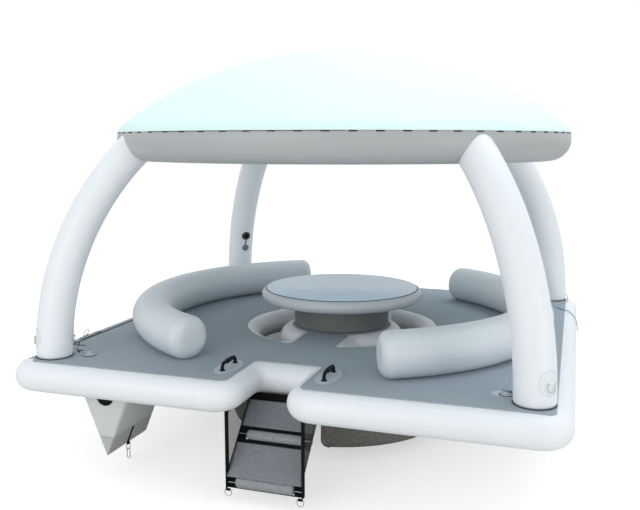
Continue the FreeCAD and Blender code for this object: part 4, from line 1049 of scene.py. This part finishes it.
def crowned_patch(corners: np.ndarray, crown: float, out: np.ndarray, steps: int = 17) -> np.ndarray:
    """Grid over four corners, swollen in the middle.

    Point (u, v) is the bilinear mean of the corners plus out times crown times 16 u (1-u) v (1-v).

    Args:
        corners: Four points, at (0, 0), (1, 0), (1, 1) and (0, 1).
        crown: How far the middle stands out.
        out: Direction of the swelling.
        steps: Points along each side.

    Returns:
        The grid of points.
    """
    u, v = np.meshgrid(np.linspace(0, 1, steps), np.linspace(0, 1, steps), indexing="ij")
    u, v = u[..., None], v[..., None]
    a, b, c, d = (np.asarray(p, float) for p in corners)
    flat = a * (1 - u) * (1 - v) + b * u * (1 - v) + c * u * v + d * (1 - u) * v
    return flat + np.asarray(out, float) * crown * 16 * u * (1 - u) * v * (1 - v)


def patchwork(name: str, patches: list[np.ndarray]) -> Piece:
    """One closed piece from patches that share their edges."""
    parts, maps = [], []
    for points in patches:
        rows, columns = points.shape[:2]
        parts.append((points, grid_faces(rows, columns).tolist()))
        long = np.linalg.norm(points[-1, 0] - points[0, 0])
        wide = max(np.linalg.norm(points[0, -1] - points[0, 0]),
                   np.linalg.norm(points[-1, -1] - points[-1, 0]))
        u, v = np.meshgrid(np.linspace(0, long, rows), np.linspace(0, wide, columns), indexing="ij")
        maps.append(np.stack([u, v], -1).reshape(-1, 2))
    return weld(make_object(name, *joined(parts), np.vstack(maps)))


@dataclass
class Ladder(Maker):
    """The boarding ladder's mesh sheets, edge bindings and foam rolls."""

    deck: Deck
    width: float = 0.504
    front: float = 1.705
    top_back: float = 1.278
    slope_drop: float = 0.435
    drop: float = 0.515
    cloth: float = 0.003
    seam: float = 0.062
    step: float = 0.311
    step_band: float = 0.114
    foam: float = 0.032
    foam_length: float = 0.390
    rung: float = 0.011
    mesh_sag: float = 0.006
    mesh_trim: float = 0.006
    roll_rounding: float = 0.019
    lower_roll_extra: float = 0.006

    def slope(self) -> tuple[np.ndarray, np.ndarray, np.ndarray, float]:
        """Top of the slope, its direction, its outward direction and its length."""
        top = np.array([0, -self.top_back, self.deck.bottom])
        foot = np.array([0, -self.front, self.deck.bottom - self.slope_drop])
        length = float(np.linalg.norm(foot - top))
        along = (foot - top) / length
        out = np.cross([-1.0, 0, 0], along)
        out = out if out[2] > 0 else -out
        return top, along, out, length

    def mesh_sheet(self, name: str, start: float, stop: float, sag: float, node: str) -> Piece:
        """A sloping mesh sheet that hangs a little behind its plane, by a product of two sines."""
        top, along, out, _ = self.slope()
        half = self.width / 2 - TAPE_STANDOFF
        u, v = np.meshgrid(np.linspace(start, stop, 25), np.linspace(-half, half, 33), indexing="ij")
        share = (u - start) / (stop - start)
        hang = sag * np.sin(pi * share) * np.cos(pi * v / (2 * half))
        points = top + u[..., None] * along + v[..., None] * np.array([1.0, 0, 0]) - hang[..., None] * out
        obj = grid_object(name, points)
        thicken(obj, MESH_THICKNESS)
        self.dress(obj, Finishes.ladder_mesh, node)
        return obj

    def panel(self, name: str, side: int) -> Piece:
        """A triangular side panel, drawn in by up to 5 mm at its middle."""
        top = self.slope()[0]
        x = side * (self.width / 2 + self.cloth / 2)
        a = np.array([x, top[1], top[2] - 0.0005])
        b = np.array([x, -self.front, self.deck.bottom - 0.0005])
        c = np.array([x, -self.front, self.deck.bottom - self.slope_drop])
        u, v = np.meshgrid(np.linspace(0, 1, 25), np.linspace(0, 1, 25), indexing="ij")
        edge = b + (c - b) * v[..., None]
        points = a + (edge - a) * u[..., None]
        pull = 27 * (1 - u) * u * (1 - v) * u * v
        points[..., 0] += side * 0.001 * pull
        obj = grid_object("ladder_%s_side_mesh" % name, points)
        thicken(obj, MESH_THICKNESS)
        self.dress(obj, Finishes.panel_mesh, "ladder_%s_panel" % name, slot="ladder_mesh")
        return obj

    def binding(self, name: str, start: np.ndarray, stop: np.ndarray, width: np.ndarray,
                thick: np.ndarray) -> Piece:
        """A flat sewn tape between two points: a rounded oblong section carried along the line."""
        w, t = np.asarray(width, float), np.asarray(thick, float)
        shape = np.array([(-1, -0.6), (-0.9, -1), (0.9, -1), (1, -0.6), (1, 0.6), (0.9, 1), (-0.9, 1),
                          (-1, 0.6)]) / 2
        along = np.linspace(0, 1, 9)[:, None, None]
        line = np.asarray(start) + (np.asarray(stop) - np.asarray(start)) * along
        points = line + shape[None, :, :1] * w + shape[None, :, 1:] * t
        obj = grid_object(name, points, False, True, True)
        return self.dress(obj, Finishes.webbing)

    def bindings(self) -> None:
        """Tapes on both faces of each side panel along its top and front, and along the slope's edges."""
        top, along, out, length = self.slope()
        low, flat = self.deck.bottom - 0.010, [TAPE_THICKNESS, 0, 0]
        for name, side in SIDES.items():
            faces = (("outer", side * (self.width / 2 + self.cloth + TAPE_STANDOFF)),
                     ("inner", side * (self.width / 2 - TAPE_STANDOFF)))
            for face, x in faces:
                self.binding("ladder_%s_top_%s_binding" % (name, face), [x, top[1] - 0.02, low],
                             [x, -self.front + 0.002, low],
                             [0, 0, 0.019], flat)
            x = faces[1][1]
            self.binding("ladder_%s_front_binding" % name, [x, -self.front + 0.022, self.deck.bottom - 0.002],
                         [x, -self.front + 0.022, self.deck.bottom - self.slope_drop + 0.040], [0, 0.042,
                                                                                                0], flat)
            first, last = top + along * 0.030 + out * 0.0095, top + along * (length - 0.035) + out * 0.0095
            self.binding("ladder_%s_slope_binding" % name, [x, first[1], first[2]], [x, last[1], last[2]],
                         0.015 * out, flat)

    def roll(self, name: str, centre: np.ndarray, r: float, node: str) -> Piece:
        """A foam roll: a round bar whose ends are domed, slightly waisted where the webbing pulls."""
        half = self.foam_length / 2
        t = np.linspace(0, pi / 2, 8)
        e = self.roll_rounding
        left = np.stack([-half + e * (1 - np.sin(t[::-1])), r - e + e * np.cos(t[::-1])], 1)
        body_x = np.linspace(-half + e, half - e, 26)
        body = np.stack([body_x, r - 0.0008 * (1 + np.cos(2 * pi * body_x / half)) / 2], 1)
        right = np.stack([half - e * (1 - np.sin(t)), r - e + e * np.cos(t)], 1)
        profile = np.vstack([[-half, self.rung + 0.0005], left, body[1:-1], right,
                             [half, self.rung + 0.0005]])
        q = np.linspace(0, 2 * pi, 40, endpoint=False)[None]
        points = np.stack([profile[:, :1] + 0 * q, profile[:, 1:] * np.cos(q), profile[:, 1:] * np.sin(q)],
                          -1) + centre
        obj = grid_object(name, points, False, True, True)
        self.dress(obj, Finishes.roll_foam, node)
        return obj

    def build(self) -> None:
        """Make the sheets, the tapes and the rolls."""
        top, along, _, length = self.slope()
        half = self.step_band / 2
        self.mesh_sheet("upper_step_mesh", self.seam, self.step - half, self.mesh_sag, "ladder_upper_mesh")
        stop = length - self.mesh_trim
        self.mesh_sheet("lower_step_mesh", self.step + half, stop, self.mesh_sag, "ladder_lower_mesh")
        for name, side in SIDES.items():
            self.panel(name, side)
        self.bindings()
        self.roll("upper_foam_roll", top + along * self.step, self.foam, "ladder_upper_foam")
        low = self.deck.bottom - self.drop + (self.drop - self.slope_drop) / 2
        extra = self.lower_roll_extra
        centre = np.array([0, -self.front + self.foam, low + extra])
        self.roll("lower_foam_roll", centre, self.foam + extra, "ladder_lower_foam")


@dataclass
class BallastBag(Maker):
    """The water bag: a cloth keel with a mesh lower part and a fill port."""

    deck: Deck
    offset: float = 1.220
    front: float = 1.560
    length: float = 0.508
    width: float = 0.388
    depth: float = 0.475
    mesh_depth: float = 0.346
    port: float = 0.066
    port_depth: float = 0.050

    def build(self) -> None:
        """Make the cloth part, the mesh part and the port."""
        top, keel, seam = self.deck.bottom, self.deck.bottom - self.depth, self.deck.bottom - self.mesh_depth
        x, near, far = -self.offset, -self.front, -self.front + self.length
        half = self.width / 2
        small = half * (self.depth - self.mesh_depth) / self.depth

        slant = np.array([self.depth, 0, -half]) / np.hypot(self.depth, half)

        def patch(corners: tuple, crown: float, out: list) -> np.ndarray:
            """One patch, from corners given as an offset sideways, a place along Y and a height."""
            return crowned_patch([np.array([x + dx, y, z]) for dx, y, z in corners], crown, out)

        def prism(wide: float, high: float, narrow: float, low: float, flanks: float, ends: float) -> list:
            """Patches of the bag between two heights, each with the half width it has there."""
            sides = [patch(((s * wide, near, high), (s * wide, far, high), (s * narrow, far, low),
                            (s * narrow, near, low)),
                           flanks, slant * [s, 1, 1]) for s in (1, -1)]
            sides += [patch(((-wide, y, high), (wide, y, high), (narrow, y, low), (-narrow, y, low)), ends,
                            [0, s, 0])
                      for y, s in ((near, -1), (far, 1))]
            return sides + [patch(((-w, near, z), (w, near, z), (w, far, z), (-w, far, z)), 0, [0, 0, 1])
                            for w, z in ((wide, high), (narrow, low)) if w > 0]

        for name, patches, finish, node in (
                ("water_bag_cloth", prism(half, top, small, seam, 0.010, 0.006), Finishes.bag_cloth,
                 "ballast_bag"),
                ("water_bag_mesh", prism(small, seam, 0, keel, 0, 0.002), Finishes.bag_mesh,
                 "ballast_bag_mesh")):
            self.dress(patchwork(name, patches), finish, node)
        self.fill_port(x, near)

    def fill_port(self, x: float, near: float) -> Piece:
        """The port: the part of a disc below the hull, raised in the middle and bound at its rim."""
        centre = self.deck.bottom - self.port_depth
        start = asin(self.port_depth / self.port)
        turn = np.linspace(pi - start, 2 * pi + start, 49)[:, None]
        reach = np.array([0.0, 0.5, 0.84, 0.86, 0.9, 0.98, 1.0, 1.0])[None]
        lift = np.array([0.007, 0.007, 0.007, 0.009, 0.0095, 0.009, 0.007, 0.0])[None]
        px = x + self.port * reach * np.cos(turn)
        pz = np.minimum(centre + self.port * reach * np.sin(turn), self.deck.bottom)
        py = near - lift + 0 * turn
        obj = grid_object("water_bag_port", np.stack([px, py, pz], -1))
        return self.dress(obj, Finishes.port_cloth, "ballast_bag_port", slot="webbing")


@dataclass
class TieCord(Maker):
    """The loose tie cord from the back right leg's ring, over the rim and down the wall."""

    deck: Deck
    radius: float = 0.005
    length: float = 0.955
    route: tuple = ((1699, 1659, 78), (1738, 1620, 40), (1752, 1552, 8), (1736, 1465, 6), (1690, 1362, 5.3),
                    (1648, 1256, 5.3), (1663, 1166, 5.3), (1712, 1088, 5.8), (1772, 1018, 5), (1822, 950,
                                                                                               -38),
                    (1838, 896, -84), (1840, 852, -128))

    def build(self) -> None:
        """Lay the cord along its route as one smooth spline."""
        curve = bpy.data.curves.new("right_tie_cord", "CURVE")
        curve.dimensions = "3D"
        curve.bevel_depth = self.radius
        curve.bevel_resolution = 3
        curve.resolution_u = 12
        curve.use_fill_caps = True
        spline = curve.splines.new("NURBS")
        points = np.array(self.route) / 1000.0 + [0, 0, self.deck.level]
        spline.points.add(len(points) - 1)
        spline.points.foreach_set("co", np.column_stack([points, np.ones(len(points))]).ravel())
        spline.order_u = 3
        spline.use_endpoint_u = True
        obj = bpy.data.objects.new("right_tie_cord", curve)
        bpy.context.scene.collection.objects.link(obj)
        self.dress(obj, Finishes.cord, "back_right_tie_cord")


@dataclass
class Fittings(Maker):
    """Pieces whose modelled nodes stay and only get their finish, and the stitched marks near them, with
    painted contact shadows round the legs' feet.
    """

    deck: Deck
    canopy: CanopyFrame
    seam_radius: float = 0.069
    seam_width: float = 0.0025
    dashes: int = 24
    patch_height: float = 0.140
    # Thickness of the dark ring of painted contact shadow at each leg's foot
    foot_seam_radius: float = 0.0028
    grip_rise: float = 0.046
    grip_radius: float = 0.016
    grip_half: float = 0.058
    grip_offset: float = 0.345
    grip_set_back: float = 0.390
    strap_half: float = 0.004
    strap_low: float = 0.0006
    strap_high: float = 0.0036
    valve_middle: tuple[float, float, float] = (-1.460672, 1.42541, 1.296963)
    valve_axis: tuple[float, float, float] = (0.689325, -0.672685, -0.268935)
    throat_depth: float = 0.004

    def dress_nodes(self, frame: dict) -> None:
        """Put the record's slot finish on every node that still shows.
        """
        slots = {part["node"]: part["material_slot"] for part in frame["record"]["subparts"]}
        for name, obj in frame["nodes"].items():
            finish = OWN_FINISH.get(name, Finishes[slots[name]])
            obj.data.materials.clear()
            obj.data.materials.append(finish.value.build(finish.name))

    def leg_frame(self, azimuth: float, sign: int) -> tuple[np.ndarray, ...]:
        """Middle of a leg's patch with its outward, upward and sideways directions.

        Args:
            azimuth: Direction of the leg in plan, in degrees.
            sign: 1 on the outer side, -1 on the inner side.

        Returns:
            The point on the leg's centre arc, the outward, the upward and the sideways direction.
        """
        arc = self.canopy.arc
        angle = asin(self.patch_height / arc)
        radial = np.array([cos(radians(azimuth)), sin(radians(azimuth)), 0.0])
        away = radial * cos(angle) + np.array([0, 0, sin(angle)])
        upward = np.array([0, 0, cos(angle)]) - radial * sin(angle)
        middle = radial * (self.canopy.foot - arc) + np.array([0, 0, self.deck.level]) + away * arc
        return middle, away * sign, upward, np.cross(upward, away * sign)

    def stitches(self) -> Piece:
        """Dashed seams round the legs' ring patches.

        A dash is a strip of five points on each of two circles round the patch. A point u to the
        side and v up lies on the tube at the angle u over the tube's radius, at the height v.
        """
        count, dash = self.dashes, 0.5
        start = np.arange(count) * 2 * pi / count
        turn = start[:, None] + np.linspace(0, dash * 2 * pi / count, 5)[None]
        reach = np.array([self.seam_radius, self.seam_radius + self.seam_width])
        u, v = reach[:, None, None] * np.cos(turn), reach[:, None, None] * np.sin(turn)
        quads = np.arange(count)[:, None, None] * 10 + np.arange(4)[None, :,
                                                                    None] * 2 + np.array([0, 2, 3, 1])
        parts = []
        for azimuth in LEGS.values():
            for sign in (1, -1):
                middle, out, up, side = self.leg_frame(azimuth, sign)
                tube = self.canopy.leg + 0.0006 + (0.0008 if sign < 0 else 0)
                bend = u[..., None] / tube
                points = middle + tube * (np.cos(bend) * out + np.sin(bend) * side) + v[..., None] * up
                parts.append((points.transpose(1, 2, 0, 3), quads.reshape(-1, 4).tolist()))
        seams = make_object("leg_patch_stitches", *joined(parts))
        thicken(seams, 0.0006)
        return self.dress(seams, Finishes.stitching, slot="patch")

    def deck_marks(self) -> Piece:
        """Stitched straps on the deck beside its rings: flat bars, each given by its two ends.

        A bar lies on the pad, or on the rolled edge where it is past the pad.
        """
        left = [((-1.669, -1.281), (-1.563, -1.276)), ((-1.571, -1.366), (-1.490, -1.450)),
                ((-1.524, -1.425), (-1.505, -1.385)),
                ((-1.700, -1.216), (-1.643, -1.227)), ((-1.640, -1.240), (-1.610, -1.300))]
        side = [((-1.704, -1.100), (-1.708, -0.860)), ((-1.744, -1.090), (-1.746, -0.870)),
                ((-1.704, -1.100), (-1.744, -1.090)),
                ((-1.708, -0.860), (-1.746, -0.870))]
        right = [((1.440, -1.400), (1.462, -1.384)), ((1.448, -1.422), (1.470, -1.412)),
                 ((1.436, -1.452), (1.466, -1.456))]
        ends = np.array(left + side + right)
        along = ends[:, 1] - ends[:, 0]
        along /= np.linalg.norm(along, axis=1, keepdims=True)
        across = np.stack([-along[:, 1], along[:, 0]], 1) * self.strap_half
        plan = np.stack([ends[:, 0] - across, ends[:, 1] - across, ends[:, 1] + across, ends[:, 0] + across],
                        1)
        r = self.deck.thickness / 2
        past = np.clip(np.abs(plan[..., 0]) - (self.deck.half - r), 0.0, r)
        edge = self.deck.half - r - self.deck.left_margin
        ground = np.where(plan[..., 0] < -edge, self.deck.top - r + np.sqrt(r * r - past * past),
                          self.deck.level)
        count = len(ends)
        low = np.concatenate([plan, (ground + self.strap_low)[..., None]], -1)
        high = np.concatenate([plan, (ground + self.strap_high)[..., None]], -1)
        box = np.array([[0, 3, 2, 1], [4, 5, 6, 7], [0, 1, 5, 4], [1, 2, 6, 5], [2, 3, 7, 6], [3, 0, 4, 7]])
        faces = (np.arange(count)[:, None, None] * 8 + box).reshape(-1, 4).tolist()
        marks = make_object("deck_ring_straps", np.concatenate([low, high], 1).reshape(-1, 3), faces)
        return self.dress(marks, Finishes.edge_tape, slot="webbing")

    def foot_seams(self) -> None:
        """Painted contact shadow round the foot of each leg, on the pad: a dark circle thickened to a tube.
        """
        a = np.linspace(0, 2 * pi, 96, endpoint=False)[:, None]
        b = np.linspace(0, 2 * pi, 10, endpoint=False)[None]
        thick = self.foot_seam_radius
        reach = self.canopy.leg + 0.001 + thick * np.cos(b)
        ring = np.stack([reach * np.cos(a), reach * np.sin(a), thick * np.sin(b) + 0 * a], -1)
        for name, azimuth in LEGS.items():
            plan = np.array([cos(radians(azimuth)), sin(radians(azimuth))]) * self.canopy.foot
            points = ring + np.array([*plan, self.deck.level + 0.003])
            self.dress(grid_object(name + "_foot_seam", points, True, True), Finishes.edge_tape,
                       slot="webbing")

    def grip_sleeves(self) -> None:
        """Thick soft grips on the middle of both grab handles."""
        for side, name in ((-1, "left"), (1, "right")):
            y = np.linspace(-self.grip_half, self.grip_half, 24)[:, None]
            q = np.linspace(0, 2 * pi, 24, endpoint=False)[None]
            r = self.grip_radius * np.clip(1 - (np.abs(y) / self.grip_half) ** 8, 0.55, 1.0)
            r = r * (1 + 0.03 * np.cos(y * 520))
            x = side * self.grip_offset + r * np.cos(q)
            z = self.deck.level + self.grip_rise + r * np.sin(q)
            points = np.stack([x, -self.deck.half + self.grip_set_back + y + 0 * q, z], -1)
            sleeve = grid_object(name + "_grip_sleeve", points, False, True, True)
            self.dress(sleeve, Finishes.grip, slot="grip")

    def valve_throat(self) -> Piece:
        """Black non-return disc inside the valve's bore."""
        middle, axis = np.array(self.valve_middle), np.array(self.valve_axis)
        side = np.cross(axis, [0, 0, 1.0])
        side /= np.linalg.norm(side)
        up = np.cross(side, axis)
        profile = np.array([[0, 0.0], [0.0215, 0.0], [0.0215, 0.0045], [0.019, 0.0055], [0.004, 0.0065],
                            [0, 0.0065]])
        disc = turned(profile, 40)
        middle = middle - axis * self.throat_depth
        points = middle + disc[..., :1] * side + disc[..., 1:2] * up + disc[..., 2:] * axis
        return self.dress(weld(grid_object("valve_throat", points, True)), Finishes.port_cloth,
                          slot="valve_plastic")

    def build(self, frame: dict) -> None:
        """Dress the nodes, and add the finishing pieces near them."""
        self.dress_nodes(frame)
        self.stitches()
        self.deck_marks()
        self.foot_seams()
        self.grip_sleeves()
        self.valve_throat()


@dataclass
class Studio:
    """Camera, lights, floor and background."""

    place: tuple[float, float, float] = (1.771, -5.958, 2.258)
    yaw: float = 18.191
    pitch: float = 8.211
    lens_pixels: float = 776.0
    frame_width: float = 640.0
    floor_level: float = -0.004
    sky_colour: tuple = (0.94, 0.98, 1.0, 1.0)
    sky_strength: float = 0.68
    floor_glow: float = 0.55
    aim: tuple[float, float, float] = (0, 0, 1.2)

    def camera(self) -> None:
        """Camera at the photograph's place, with its lens from the focal length in pixels."""
        data = bpy.data.cameras.new("photo_camera")
        data.sensor_width = 36.0
        data.lens = self.lens_pixels / self.frame_width * data.sensor_width
        camera = bpy.data.objects.new("photo_camera", data)
        camera.location = self.place
        camera.rotation_euler = (radians(90 - self.pitch), 0, radians(self.yaw))
        bpy.context.scene.collection.objects.link(camera)
        bpy.context.scene.camera = camera

    def world(self) -> None:
        """A pale sky for the light, shown as white to the camera and in reflections."""
        world = bpy.data.worlds.new("studio")
        world.use_nodes = True
        tree = world.node_tree
        tree.nodes.clear()
        path = tree.nodes.new("ShaderNodeLightPath")
        seen = tree.nodes.new("ShaderNodeMath")
        seen.operation = "MAXIMUM"
        also = tree.nodes.new("ShaderNodeMath")
        also.operation = "MAXIMUM"
        tree.links.new(path.outputs["Is Camera Ray"], seen.inputs[0])
        tree.links.new(path.outputs["Is Glossy Ray"], seen.inputs[1])
        tree.links.new(seen.outputs[0], also.inputs[0])
        tree.links.new(path.outputs["Is Transmission Ray"], also.inputs[1])
        lit = tree.nodes.new("ShaderNodeBackground")
        lit.inputs["Color"].default_value = self.sky_colour
        lit.inputs["Strength"].default_value = self.sky_strength
        shown = tree.nodes.new("ShaderNodeBackground")
        shown.inputs["Color"].default_value = (1.0, 1.0, 1.0, 1.0)
        mix = tree.nodes.new("ShaderNodeMixShader")
        tree.links.new(also.outputs[0], mix.inputs["Fac"])
        tree.links.new(lit.outputs[0], mix.inputs[1])
        tree.links.new(shown.outputs[0], mix.inputs[2])
        output = tree.nodes.new("ShaderNodeOutputWorld")
        tree.links.new(mix.outputs[0], output.inputs["Surface"])
        bpy.context.scene.world = world

    def lamp(self, name: str, place: tuple, size: float, power: float, colour: tuple) -> None:
        """A soft square lamp that faces the middle of the deck."""
        data = bpy.data.lights.new(name, "AREA")
        data.size = size
        data.energy = power
        data.color = colour
        lamp = bpy.data.objects.new(name, data)
        lamp.location = place
        lamp.rotation_euler = (Vector(self.aim) - Vector(place)).to_track_quat("-Z", "Y").to_euler()
        bpy.context.scene.collection.objects.link(lamp)

    def floor(self) -> None:
        """A wide pale floor, white to the camera where no shadow falls."""
        reach = 60.0
        corners = np.array([(-reach, -reach), (reach, -reach), (reach, reach), (-reach, reach)])
        floor = make_object("pale_floor", np.column_stack([corners, np.full(4, self.floor_level)]),
                            [[0, 1, 2, 3]])
        sheet = NodeSheet("floor_paint")
        grain = sheet.noise(sheet.place(), 0.4, 2.0)
        sheet.link(sheet.tint(grain, (0.74, 0.73, 0.71), (0.78, 0.77, 0.75)),
                   sheet.shader.inputs["Base Color"])
        sheet.shader.inputs["Roughness"].default_value = 0.9
        sheet.shader.inputs["Specular IOR Level"].default_value = 0.1
        sheet.shader.inputs["Emission Color"].default_value = (1.0, 1.0, 1.0, 1.0)
        path = sheet.tree.nodes.new("ShaderNodeLightPath")
        sheet.link(sheet.sum("MULTIPLY", path.outputs["Is Camera Ray"], self.floor_glow),
                   sheet.shader.inputs["Emission Strength"])
        floor.data.materials.append(sheet.material)

    def build(self) -> None:
        """Make the camera, the world, the lamps and the floor."""
        self.camera()
        self.world()
        self.lamp("overhead_lamp", (1.5, 1.5, 9.0), 8.0, 400.0, (0.86, 0.96, 1.0))
        self.lamp("right_lamp", (7.5, -4.0, 0.6), 4.0, 135.0, (1.0, 0.99, 0.97))
        self.lamp("front_lamp", (-3.0, -8.5, 3.0), 5.0, 150.0, (0.98, 0.99, 1.0))
        self.floor()
        bpy.context.scene.view_settings.view_transform = "Standard"


def main() -> None:
    """Load the frame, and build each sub-assembly."""
    logging.basicConfig(level=logging.INFO, format="%(name)s: %(message)s")
    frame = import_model()
    Studio().build()
    deck = Deck()
    TieCord(deck).build()
    canopy = CanopyFrame(deck)
    Fittings(deck, canopy).build(frame)
    deck.build()
    Footwells(deck).build()
    Table(deck).build()
    Backrests(deck).build()
    canopy.build()
    Ladder(deck).build()
    BallastBag(deck).build()


if __name__ == "__main__":
    main()
